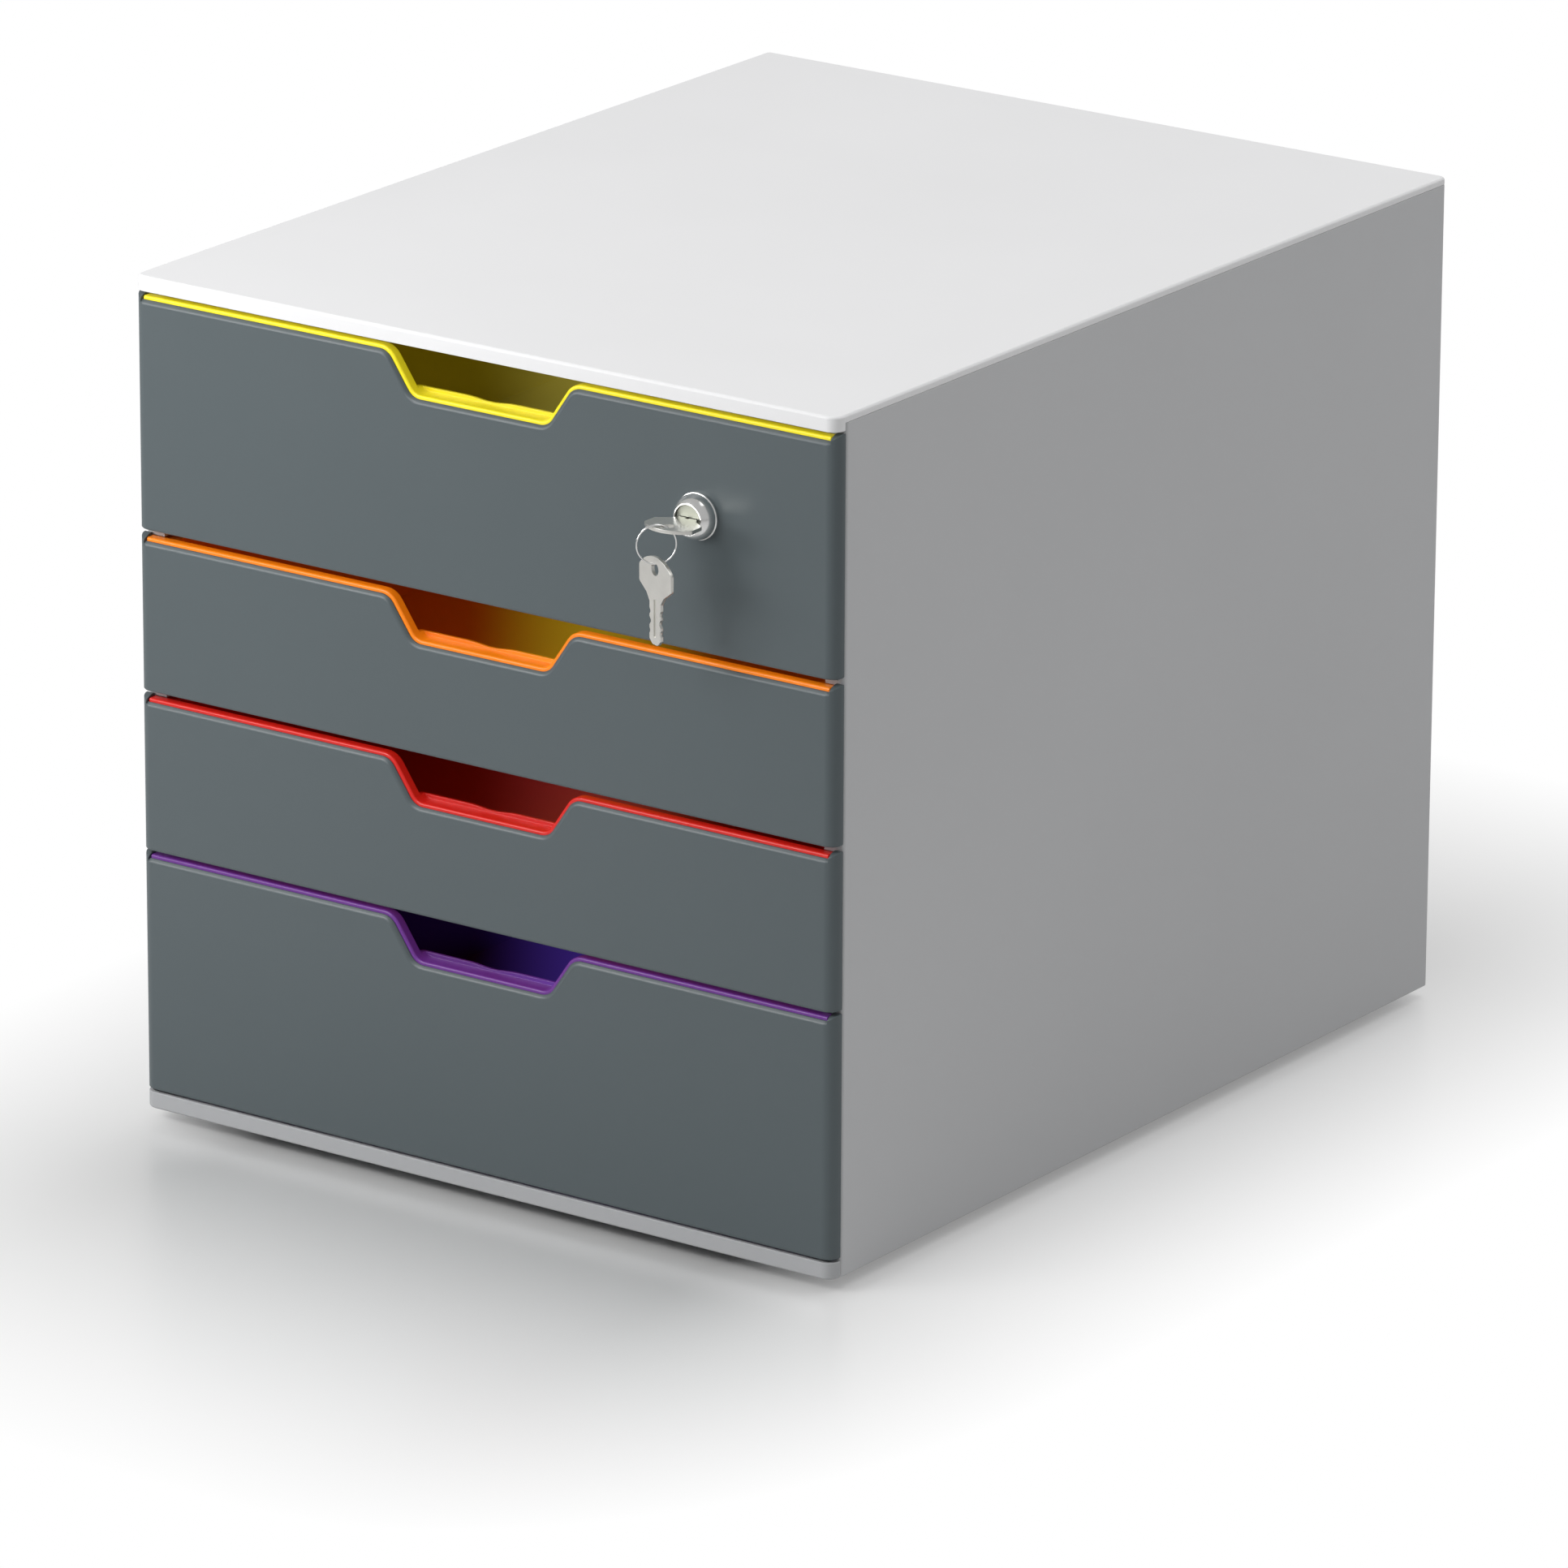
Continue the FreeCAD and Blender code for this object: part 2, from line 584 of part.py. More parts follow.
def wave_step(level):
    """Lip behind the bottom of the cut-out, which ends in an upstand with a shallow dip."""
    surface = level - CUT_DEPTH + RIM_PROUD
    crest = surface + STEP_HEIGHT
    below = surface - TRAY_WALL - STEP_HEIGHT
    reach = CUT_TOP_WIDTH / 2
    dip = STEP_DIP_WIDTH / 2
    radius = (dip ** 2 / 4 + STEP_DIP ** 2 / 4) / STEP_DIP
    sag = radius - math.sqrt(radius ** 2 - dip ** 2 / 16)
    left = Vector(-dip, 0, crest)
    right = Vector(dip, 0, crest)
    left_turn = Vector(-dip / 2, 0, crest - STEP_DIP / 2)
    right_turn = Vector(dip / 2, 0, crest - STEP_DIP / 2)
    lowest = Vector(0, 0, crest - STEP_DIP)
    corners = [Vector(reach, 0, crest), Vector(reach, 0, below),
               Vector(-reach, 0, below), Vector(-reach, 0, crest)]
    edges = [Part.makeLine(corners[3], left),
             Part.Arc(left, Vector(-dip * 3 / 4, 0, crest - sag), left_turn).toShape(),
             Part.Arc(left_turn, lowest, right_turn).toShape(),
             Part.Arc(right_turn, Vector(dip * 3 / 4, 0, crest - sag), right).toShape(),
             Part.makeLine(right, corners[0]), Part.makeLine(corners[0], corners[1]),
             Part.makeLine(corners[1], corners[2]), Part.makeLine(corners[2], corners[3])]
    face = Part.Face(Part.Wire(edges))
    start = TRAY_WALL_BACK - TRAY_WALL / 2
    face.translate(Vector(0, start, 0))
    bar = face.extrude(Vector(0, STEP_BACK - start, 0))
    lip = bar.common(open_region(level, TRAY_WALL - RIM_PROUD, TRAY_HALF, start, STEP_BACK))
    return lip.cut(open_region(level, -RIM_PROUD, TRAY_HALF, -OVERRUN,
                               STEP_BACK - STEP_THICKNESS))


def coloured_ledge(level):
    """Ledge along a tray's front, which stands a little above the front's rim."""
    ledge = open_region(level, LEDGE_THICKNESS, FLANGE_HALF, LEDGE_FRONT, TRAY_WALL_BACK)
    space = open_region(level, -RIM_PROUD, FLANGE_HALF + OVERRUN, -OVERRUN,
                        TRAY_WALL_BACK + OVERRUN)
    ledge = ledge.cut(space)
    nose = []
    for edge in edges_where(ledge, lambda place: near(place.y, LEDGE_FRONT)):
        first, last = edge.ParameterRange
        if space.isInside(edge.valueAt((first + last) / 2), WIDTH * SNAP_SHARE, True):
            nose.append(edge)
    return ledge.makeChamfer(LEDGE_CHAMFER, nose)


def tray(index):
    """Coloured tray: an open box, its front ledge, side flanges and stop nubs."""
    level = rim_level(index)
    floor = LEVELS[index][0] + FLOOR_RISE
    shell = tray_shell(floor, level)
    flange = box(TRAY_HALF - TRAY_WALL / 2, FLANGE_HALF, TRAY_FRONT, TRAY_BACK - TRAY_CORNER_RADIUS,
                 level - LEDGE_THICKNESS, level)
    nub_front = WALL_FRONT + NUB_INSET + NUB_LENGTH + TRAVEL + STOP_PLAY
    ramp = [(nub_front, level), (nub_front + NUB_LENGTH, level),
            (nub_front + NUB_LENGTH / 2, level + NUB_HEIGHT), (nub_front, level + NUB_HEIGHT)]
    nub = side_prism(ramp, FLANGE_HALF - NUB_WIDTH, FLANGE_HALF)
    body = shell.multiFuse([flange, mirrored(flange), nub, mirrored(nub)])
    body = body.cut(open_region(level, 0, FLANGE_HALF + OVERRUN, -OVERRUN, TRAY_WALL_BACK))
    body = body.multiFuse([coloured_ledge(level), wave_step(level)]).removeSplitter()
    relief_half = TRAY_HALF - BACK_SHOULDER
    relief = front_prism(
        [(-relief_half, level + OVERRUN), (-relief_half, level - BACK_DROP),
         (relief_half, level - BACK_DROP), (relief_half, level + OVERRUN)],
        [0, BACK_DROP_RADIUS, BACK_DROP_RADIUS, 0],
        TRAY_BACK - TRAY_TAPER - TRAY_CORNER_RADIUS, TRAY_BACK + OVERRUN)
    body = body.cut(relief)
    holes = clips(index, CLIP_PLAY, TRAY_FRONT - OVERRUN, TRAY_WALL_BACK + OVERRUN)
    if index == 0:
        holes.append(rod(BARREL_RADIUS + BARREL_PLAY, LOCK_X, LOCK_HEIGHT,
                         TRAY_FRONT - OVERRUN, TRAY_WALL_BACK + OVERRUN))
    for hole in holes:
        body = body.cut(hole)
    return body


def strike():
    """Bent plate under the cover, which the lock's cam turns up behind."""
    x = LOCK_X
    foot_y = STRIKE_BACK - STRIKE_FOOT
    points = [(foot_y, WALL_TOP), (STRIKE_BACK, WALL_TOP), (STRIKE_BACK, WALL_TOP - STRIKE_DROP),
              (STRIKE_BACK - STRIKE_THICKNESS, WALL_TOP - STRIKE_DROP),
              (STRIKE_BACK - STRIKE_THICKNESS, WALL_TOP - STRIKE_THICKNESS),
              (foot_y, WALL_TOP - STRIKE_THICKNESS)]
    plate = side_prism(points, x - STRIKE_WIDTH / 2, x + STRIKE_WIDTH / 2)
    bend = edges_where(plate, lambda place: near(place.y, STRIKE_BACK)
                       and near(place.z, WALL_TOP))
    plate = plate.makeFillet(STRIKE_THICKNESS, bend)
    for pin_x, pin_y in stake_places():
        plate = plate.cut(upright(STAKE_RADIUS + STAKE_PLAY, pin_x, pin_y,
                                  WALL_TOP - STRIKE_DROP, WALL_TOP))
    return plate


def lock_body():
    """Domed bezel and barrel of the cam lock, bored for the plug."""
    shoulder = BEZEL_RADIUS - BEZEL_STEP
    inward = shoulder - BEZEL_FACE_RADIUS
    outward = BEZEL_OUT - BEZEL_EDGE
    dome = (inward ** 2 + outward ** 2) / (2 * inward)
    sweep = math.asin(outward / dome)
    points = [(BEZEL_RADIUS, 0), (BEZEL_RADIUS, -BEZEL_EDGE)]
    for step in range(DOME_STEPS + 1):
        turn = sweep * step / DOME_STEPS
        points.append((shoulder - dome * (1 - math.cos(turn)),
                       -BEZEL_EDGE - dome * math.sin(turn)))
    bore = PLUG_RADIUS + PLUG_PLAY
    mouth = HEAD_RADIUS + HEAD_PLAY
    seat = HEAD_BACK + PLUG_PLAY
    points += [(mouth, -BEZEL_OUT), (mouth, seat), (bore, seat), (bore, BARREL_LENGTH),
               (BARREL_RADIUS, BARREL_LENGTH), (BARREL_RADIUS, 0)]
    body = turned(points, 0, 0)
    flat = box(BARREL_FLAT, BARREL_RADIUS, TRAY_WALL_BACK, BARREL_LENGTH,
               -BARREL_RADIUS, BARREL_RADIUS)
    body = body.cut(flat).cut(mirrored(flat))
    body.translate(Vector(LOCK_X, 0, LOCK_HEIGHT))
    return body


def lock_nut():
    """Hexagon nut that clamps the lock to the tray's front wall."""
    turn = 2 * math.pi / NUT_SIDES
    corner = NUT_ACROSS_FLATS / 2 / math.cos(turn / 2)
    points = [(LOCK_X + corner * math.cos(turn * step), LOCK_HEIGHT + corner * math.sin(turn * step))
              for step in range(NUT_SIDES)]
    nut = front_prism(points, [0] * NUT_SIDES, TRAY_WALL_BACK, TRAY_WALL_BACK + NUT_THICKNESS)
    return nut.cut(rod(BARREL_RADIUS, LOCK_X, LOCK_HEIGHT,
                       TRAY_FRONT, TRAY_WALL_BACK + NUT_THICKNESS + OVERRUN))


def lock_plug():
    """Turning plug with a keyway, and a square post for the cam."""
    x, z = LOCK_X, LOCK_HEIGHT
    end = BARREL_LENGTH + CAM_GAP / 2
    plug = turned([(0, PLUG_FACE), (HEAD_RADIUS, PLUG_FACE), (HEAD_RADIUS, HEAD_BACK),
                   (PLUG_RADIUS, HEAD_BACK), (PLUG_RADIUS, end), (0, end)], x, z)
    side = POST_SQUARE / 2
    plug = plug.fuse(box(x - side, x + side, end - CAM_GAP, CAM_BACK, z - side, z + side))
    half_way = KEY_BLADE_WIDTH / 2 + KEY_PLAY
    half_slot = KEY_THICKNESS / 2 + KEY_PLAY
    plug = plug.cut(box(x - half_way, x + half_way, PLUG_FACE - OVERRUN, KEYWAY_END,
                        z - half_slot, z + half_slot))
    plug = plug.cut(rod(SCREW_RADIUS, x, z, SCREW_TIP, CAM_BACK + OVERRUN))
    return plug.removeSplitter()


def lock_cam():
    """Flat cam on the plug's square, lying sideways while the lock is open."""
    x, z = LOCK_X, LOCK_HEIGHT
    half = CAM_WIDTH / 2
    arm = front_prism([(x - CAM_REACH, z - half), (x, z - half), (x, z + half),
                       (x - CAM_REACH, z + half)], [half / 2, 0, 0, half / 2],
                      CAM_FRONT, CAM_BACK)
    cam = arm.fuse(rod(CAM_EYE_RADIUS, x, z, CAM_FRONT, CAM_BACK)).removeSplitter()
    side = POST_SQUARE / 2
    return cam.cut(box(x - side, x + side, CAM_FRONT - OVERRUN, CAM_BACK + OVERRUN,
                       z - side, z + side))


def cam_screw():
    """Slotted screw that holds the cam on the plug."""
    x, z = LOCK_X, LOCK_HEIGHT
    top = CAM_BACK + SCREW_HEAD_HEIGHT
    screw = turned([(0, SCREW_TIP), (SCREW_RADIUS, SCREW_TIP), (SCREW_RADIUS, CAM_BACK),
                    (SCREW_HEAD_RADIUS, CAM_BACK), (SCREW_HEAD_RADIUS, top), (0, top)], x, z)
    return screw.cut(box(x - SCREW_HEAD_RADIUS, x + SCREW_HEAD_RADIUS, top - SCREW_SLOT_DEPTH,
                         top + OVERRUN, z - SCREW_SLOT / 2, z + SCREW_SLOT / 2))


def key_blank():
    """Key lying flat: its bow's end at zero, its blade along Y and its middle plane at Z zero."""
    half_bow = KEY_BOW_WIDTH / 2
    low = -KEY_THICKNESS / 2
    right = [Vector(half_bow, KEY_BOW_SAG, low), Vector(half_bow, KEY_SIDE_END, low),
             Vector(KEY_NECK_WIDTH / 2, KEY_NECK_START, low),
             Vector(KEY_BLADE_WIDTH / 2, KEY_BLADE_START, low),
             Vector(KEY_BLADE_WIDTH / 2, KEY_TIP_START, low),
             Vector(KEY_TIP_WIDTH / 2, KEY_LENGTH, low)]
    left = [Vector(-place.x, place.y, place.z) for place in reversed(right)]
    chain = right + left
    edges = [Part.makeLine(start, end) for start, end in zip(chain, chain[1:])]
    edges.append(Part.Arc(chain[-1], Vector(0, 0, low), chain[0]).toShape())
    key = Part.Face(Part.Wire(edges)).extrude(Vector(0, 0, KEY_THICKNESS))
    corners = [edge for edge in key.Edges if near(edge.Length, KEY_THICKNESS)
               and edge.CenterOfMass.y < KEY_NECK_START - KEY_CORNER_RADIUS]
    key = key.makeFillet(KEY_CORNER_RADIUS, corners)
    key = key.cut(upright(KEY_HOLE_RADIUS, 0, KEY_HOLE_INSET, low, -low))
    half_groove = KEY_GROOVE_WIDTH / 2
    for side in (-1, 1):
        depth = box(-half_groove, half_groove, KEY_NECK_START, KEY_GROOVE_END,
                    KEY_THICKNESS / 2 - KEY_GROOVE_DEPTH, KEY_THICKNESS / 2 + OVERRUN)
        key = key.cut(depth if side > 0 else depth.mirror(Vector(0, 0, 0), Vector(0, 0, 1)))
        for step, cut_depth in enumerate(NOTCH_DEPTHS):
            key = key.cut(notch(side, step, cut_depth))
    return key


def notch(side, step, cut_depth):
    """Cut in one edge of the blade."""
    middle = KEY_BLADE_START + NOTCH_SPACING * (step + 1)
    edge = side * KEY_BLADE_WIDTH / 2
    outside = edge + side * NOTCH_WIDTH
    inside = edge - side * cut_depth
    corners = [Vector(inside, middle, -KEY_THICKNESS),
               Vector(outside, middle - NOTCH_WIDTH, -KEY_THICKNESS),
               Vector(outside, middle + NOTCH_WIDTH, -KEY_THICKNESS)]
    face = Part.Face(Part.makePolygon(corners + corners[:1]))
    return face.extrude(Vector(0, 0, 2 * KEY_THICKNESS))


def ring_plan():
    """Middle of the bow's rim seen from above, where the ring hangs, and the ring's direction."""
    turn = math.radians(RING_TURN)
    outward = Vector(-math.sin(turn), -math.cos(turn), 0)
    bow_radius = (KEY_BOW_WIDTH ** 2 / 4 + KEY_BOW_SAG ** 2) / (2 * KEY_BOW_SAG)
    offset = bow_radius - KEY_HOLE_INSET
    along = -offset * math.cos(turn) + math.sqrt(bow_radius ** 2
                                                 - (offset * math.sin(turn)) ** 2)
    hole = Vector(LOCK_X, BOW_END + KEY_HOLE_INSET, 0)
    rim = along - KEY_HOLE_RADIUS
    middle = hole + outward * (KEY_HOLE_RADIUS + rim / 2)
    return middle, outward, rim


def ring_centre():
    """Centre of the hanging key ring."""
    middle, outward, rim = ring_plan()
    inner = RING_RADIUS - RING_WIRE
    drop = math.sqrt(inner ** 2 - rim ** 2 / 4)
    height = LOCK_HEIGHT + KEY_THICKNESS / 2 + RING_HANG_GAP - drop
    return Vector(middle.x, middle.y, height)


def key_ring():
    """Round wire ring through the bows of both keys."""
    middle, outward, rim = ring_plan()
    axis = Vector(-outward.y, outward.x, 0)
    centre = ring_centre()
    corners = []
    for step in range(WIRE_SIDES):
        turn = 2 * math.pi * step / WIRE_SIDES
        corners.append(centre + outward * (RING_RADIUS + RING_WIRE * math.cos(turn))
                       + axis * (RING_WIRE * math.sin(turn)))
    section = Part.Face(Part.makePolygon(corners + corners[:1]))
    return section.revolve(centre, axis, 360)


def spare_pivot():
    """Lowest point of the ring's wire, which the spare key hangs on."""
    return ring_centre() - Vector(0, 0, RING_RADIUS)


def spare_key():
    """Second key, hanging from the ring with its blade down."""
    turn = math.radians(SPARE_TURN)
    across = Vector(math.cos(turn), math.sin(turn), 0)
    normal = across.cross(Vector(0, 0, -1))
    pivot = spare_pivot()
    hole_height = pivot.z + RING_WIRE + RING_HANG_GAP - KEY_HOLE_RADIUS
    end = Vector(pivot.x, pivot.y, hole_height + KEY_HOLE_INSET)
    place = Matrix(across.x, 0, normal.x, end.x,
                   across.y, 0, normal.y, end.y,
                   0, -1, 0, end.z,
                   0, 0, 0, 1)
    key = key_blank()
    key.Placement = FreeCAD.Placement(place)
    return key


def front_reach():
    """How far the key ring stands out in front of the fronts."""
    across = RING_RADIUS * math.cos(math.radians(RING_TURN))
    return -(ring_centre().y - across - RING_WIRE)


def shift_back():
    """Distance that moves the middle of the whole object, keys included, to Y zero."""
    return -(DEPTH - front_reach()) / 2


def pieces():
    """Every piece by name, with the fronts' face at Y zero."""
    nodes = {"top_cover": top_cover(), "base_plate": base_plate()}
    wall = side_wall_right()
    nodes["side_wall_right"] = wall
    nodes["side_wall_left"] = mirrored(wall)
    nodes["back_wall"] = back_wall()
    for name, (x, y) in foot_places().items():
        nodes[name] = foot(x, y)
    for index in range(len(LEVELS)):
        name = "drawer_" + str(index + 1)
        nodes[name + "_front"] = drawer_front(index)
        nodes[name + "_tray"] = tray(index)
    key = key_blank()
    key.translate(Vector(LOCK_X, BOW_END, LOCK_HEIGHT))
    nodes["lock_strike"] = strike()
    nodes["lock_body"] = lock_body()
    nodes["lock_nut"] = lock_nut()
    nodes["lock_plug"] = lock_plug()
    nodes["lock_cam"] = lock_cam()
    nodes["cam_screw"] = cam_screw()
    nodes["key"] = key
    nodes["key_ring"] = key_ring()
    nodes["spare_key"] = spare_key()
    return nodes


def main():
    """Builds every piece and writes one file for each."""
    os.makedirs("parts", exist_ok=True)
    back = Vector(0, shift_back(), 0)
    for name, shape in pieces().items():
        shape.translate(back)
        solids = shape.Solids
        print(name, len(solids), "solids, valid", shape.isValid(), "volume", round(shape.Volume, 2))
        single = solids[0] if len(solids) == 1 else Part.makeCompound(solids)
        single.exportStep(os.path.join("parts", name + ".step"))


main()
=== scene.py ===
"""Desktop drawer box: housing, four coloured trays with slate fronts, a cam lock and its keys.

Lengths are in metres and angles in degrees. X runs to the right, Y to the back and Z up from the
floor. The bright plastic of the trays is given a faint light of its own, because it is brighter
in the photograph than the lamps alone make it.
"""
import logging
import math
from collections.abc import Callable, Sequence
from dataclasses import dataclass, field
from enum import Enum

import bmesh
import bpy
from mathutils import Matrix, Vector


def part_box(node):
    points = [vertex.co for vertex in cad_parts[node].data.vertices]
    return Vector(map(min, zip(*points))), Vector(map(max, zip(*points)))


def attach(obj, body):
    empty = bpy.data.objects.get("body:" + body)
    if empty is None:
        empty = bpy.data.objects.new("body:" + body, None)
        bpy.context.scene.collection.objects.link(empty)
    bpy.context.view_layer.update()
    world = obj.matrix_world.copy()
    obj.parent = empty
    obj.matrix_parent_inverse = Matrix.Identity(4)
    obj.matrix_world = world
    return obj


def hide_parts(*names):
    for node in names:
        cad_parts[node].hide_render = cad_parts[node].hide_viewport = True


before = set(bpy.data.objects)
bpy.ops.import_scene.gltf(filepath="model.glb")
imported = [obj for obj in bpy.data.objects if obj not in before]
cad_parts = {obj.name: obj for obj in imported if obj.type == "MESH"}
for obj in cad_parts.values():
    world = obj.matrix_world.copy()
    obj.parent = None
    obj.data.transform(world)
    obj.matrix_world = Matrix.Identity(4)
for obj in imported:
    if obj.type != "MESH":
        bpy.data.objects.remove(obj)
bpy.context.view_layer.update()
LOG = logging.getLogger("drawer_box")
MM = 0.001
# Plain materials stand under the slots' names, so those made here end in this
LOOK = "_look"
# Vertices nearer to each other than this are merged
MERGE = 0.002 * MM
# Faces that meet at a smaller angle become one, and edges above the second angle can be rounded
FLAT_ANGLE = math.radians(0.7)
SHARP_ANGLE = math.radians(35)
WHITE = (1.0, 1.0, 1.0, 1.0)
Colour = tuple[float, float, float]
Point2 = tuple[float, float]
Point3 = tuple[float, float, float]
Corner = tuple[float, float, float]


class Side(Enum):
    """Sides of the housing, as the sign of X."""

    LEFT = -1
    RIGHT = 1


class TrayColour(Enum):
    """Plastic of each tray from the top down: slot name, linear colour and colour of its painted
    glow inside.
    """

    YELLOW = ("tray_yellow", (0.86, 0.73, 0.018), (0.78, 0.72, 0.15))
    ORANGE = ("tray_orange", (0.87, 0.215, 0.006), (0.80, 0.85, 0.03))
    RED = ("tray_red", (0.58, 0.014, 0.010), (0.6, 0.055, 0.07))
    VIOLET = ("tray_violet", (0.125, 0.028, 0.225), (0.17, 0.08, 0.85))

    @property
    def slot(self) -> str:
        """Name of the material slot."""
        return self.value[0]

    @property
    def colour(self) -> Colour:
        """Linear colour of the plastic."""
        return self.value[1]

    @property
    def inside(self) -> Colour:
        """Linear colour of the painted glow inside the tray, a painted pool of light behind the
        cut-out.
        """
        return self.value[2]


class Value:
    """A shader value that takes part in Python's arithmetic."""

    def __init__(self, tree: bpy.types.NodeTree, socket: bpy.types.NodeSocket) -> None:
        """Wraps a node's output.

        Args:
            tree: Node tree the output belongs to.
            socket: The output itself.
        """
        self.tree = tree
        self.socket = socket

    def _math(self, operation: str, first: "Value | float", second: "Value | float") -> "Value":
        """Adds one Math node.

        Args:
            operation: Name of the node's operation.
            first: Left side.
            second: Right side.

        Returns:
            The node's result.
        """
        node = self.tree.nodes.new("ShaderNodeMath")
        node.operation = operation
        for slot, item in zip(node.inputs, (first, second)):
            if isinstance(item, Value):
                self.tree.links.new(item.socket, slot)
            else:
                slot.default_value = item
        return Value(self.tree, node.outputs[0])

    def __add__(self, other: "Value | float") -> "Value":
        """Sum."""
        return self._math("ADD", self, other)

    def __radd__(self, other: float) -> "Value":
        """Sum with a number on the left."""
        return self._math("ADD", other, self)

    def __sub__(self, other: "Value | float") -> "Value":
        """Difference."""
        return self._math("SUBTRACT", self, other)

    def __rsub__(self, other: float) -> "Value":
        """Difference from a number on the left."""
        return self._math("SUBTRACT", other, self)

    def __mul__(self, other: "Value | float") -> "Value":
        """Product."""
        return self._math("MULTIPLY", self, other)

    def __rmul__(self, other: float) -> "Value":
        """Product with a number on the left."""
        return self._math("MULTIPLY", other, self)

    def __abs__(self) -> "Value":
        """Size without its sign."""
        return self._math("ABSOLUTE", self, 0.0)

    def below(self, limit: float) -> "Value":
        """One where the value is under a limit, zero elsewhere."""
        return self._math("LESS_THAN", self, limit)


class Bench:
    """Node tree of one material or world while it is put together."""

    def __init__(self, tree: bpy.types.NodeTree) -> None:
        """Starts from an empty tree.

        Args:
            tree: Tree to fill.
        """
        self.tree = tree
        tree.nodes.clear()

    def node(self, kind: str, settings: dict[str, object] | None = None,
             values: dict[str | int, object] | None = None) -> bpy.types.Node:
        """Adds a node.

        Args:
            kind: Type of the node.
            settings: Properties of the node, which are set first.
            values: Numbers, colours, Values or sockets for its inputs, by name or number.

        Returns:
            The node.
        """
        made = self.tree.nodes.new(kind)
        for key, item in (settings or {}).items():
            setattr(made, key, item)
        for key, item in (values or {}).items():
            slot = made.inputs[key]
            if isinstance(item, Value):
                self.tree.links.new(item.socket, slot)
            elif isinstance(item, bpy.types.NodeSocket):
                self.tree.links.new(item, slot)
            else:
                slot.default_value = item
        return made

    def value(self, node: bpy.types.Node, output: str | int = 0) -> Value:
        """Output of a node as a Value."""
        return Value(self.tree, node.outputs[output])

    def noise(self, scale: float, detail: float = 2.0,
              stretch: Point3 = (1.0, 1.0, 1.0)) -> Value:
        """Noise on the object's own coordinates.

        Args:
            scale: Cells per metre.
            detail: Number of finer layers.
            stretch: Scale along each axis.

        Returns:
            The noise, about 0.5 on average.
        """
        place = self.node("ShaderNodeTexCoord")
        mapping = self.node("ShaderNodeMapping", {"vector_type": "POINT"},
                            {"Vector": place.outputs["Object"], "Scale": stretch})
        made = self.node("ShaderNodeTexNoise", {"noise_dimensions": "3D"},
                         {"Vector": mapping.outputs[0], "Scale": scale, "Detail": detail})
        return self.value(made, "Fac")

    def shade(self, factor: Value, low: "Colour | bpy.types.NodeSocket",
              high: "Colour | bpy.types.NodeSocket") -> bpy.types.NodeSocket:
        """Colour between two shades.

        Args:
            factor: Zero for the first shade, one for the second.
            low: First shade.
            high: Second shade.

        Returns:
            The colour output, which a Mix node has third, with its colours in inputs 6 and 7.
        """
        shades = {key: item if isinstance(item, bpy.types.NodeSocket) else (*item, 1.0)
                  for key, item in ((6, low), (7, high))}
        mix = self.node("ShaderNodeMix", {"data_type": "RGBA", "clamp_factor": True},
                        {"Factor": factor} | shades)
        return mix.outputs[2]

    def bump(self, height: Value, distance: float, strength: float) -> bpy.types.NodeSocket:
        """Normal of a finely uneven surface.

        Args:
            height: Height from zero to one.
            distance: Depth of the unevenness in metres.
            strength: Share of it that shows.

        Returns:
            The normal output.
        """
        made = self.node("ShaderNodeBump", None,
                         {"Height": height, "Distance": distance, "Strength": strength})
        return made.outputs[0]

    def blend(self, factor: "Value | bpy.types.NodeSocket | float", first: bpy.types.NodeSocket,
              second: bpy.types.NodeSocket) -> bpy.types.NodeSocket:
        """Shader between two others.

        Args:
            factor: Zero for the first shader, one for the second.
            first: First shader.
            second: Second shader.

        Returns:
            The shader output.
        """
        mix = self.node("ShaderNodeMixShader", None, {0: factor, 1: first, 2: second})
        return mix.outputs[0]

    def surface(self, shader: bpy.types.NodeSocket) -> None:
        """Connects the finished shader to the material's output."""
        self.node("ShaderNodeOutputMaterial", None, {"Surface": shader})


def tint(colour: Colour, factor: float) -> Colour:
    """Colour made lighter or darker by a factor."""
    return tuple(min(part * factor, 1.0) for part in colour)


@dataclass(frozen=True)
class Finish:
    """Finish of one material slot; a variant tells two looks of the same slot apart."""

    name: str
    colour: Colour
    variant: str = ""

    def material(self) -> bpy.types.Material:
        """Makes the material of this finish on the first call.

        Returns:
            The material, which later calls find by its name.
        """
        title = self.name + self.variant + LOOK
        made = bpy.data.materials.get(title)
        if not made:
            made = bpy.data.materials.new(title)
            made.use_nodes = True
            bench = Bench(made.node_tree)
            bench.surface(self.shader(bench).outputs[0])
        return made

    def shader(self, bench: Bench) -> bpy.types.Node:
        """Principled shader, which each kind of finish builds in its own way."""
        raise NotImplementedError


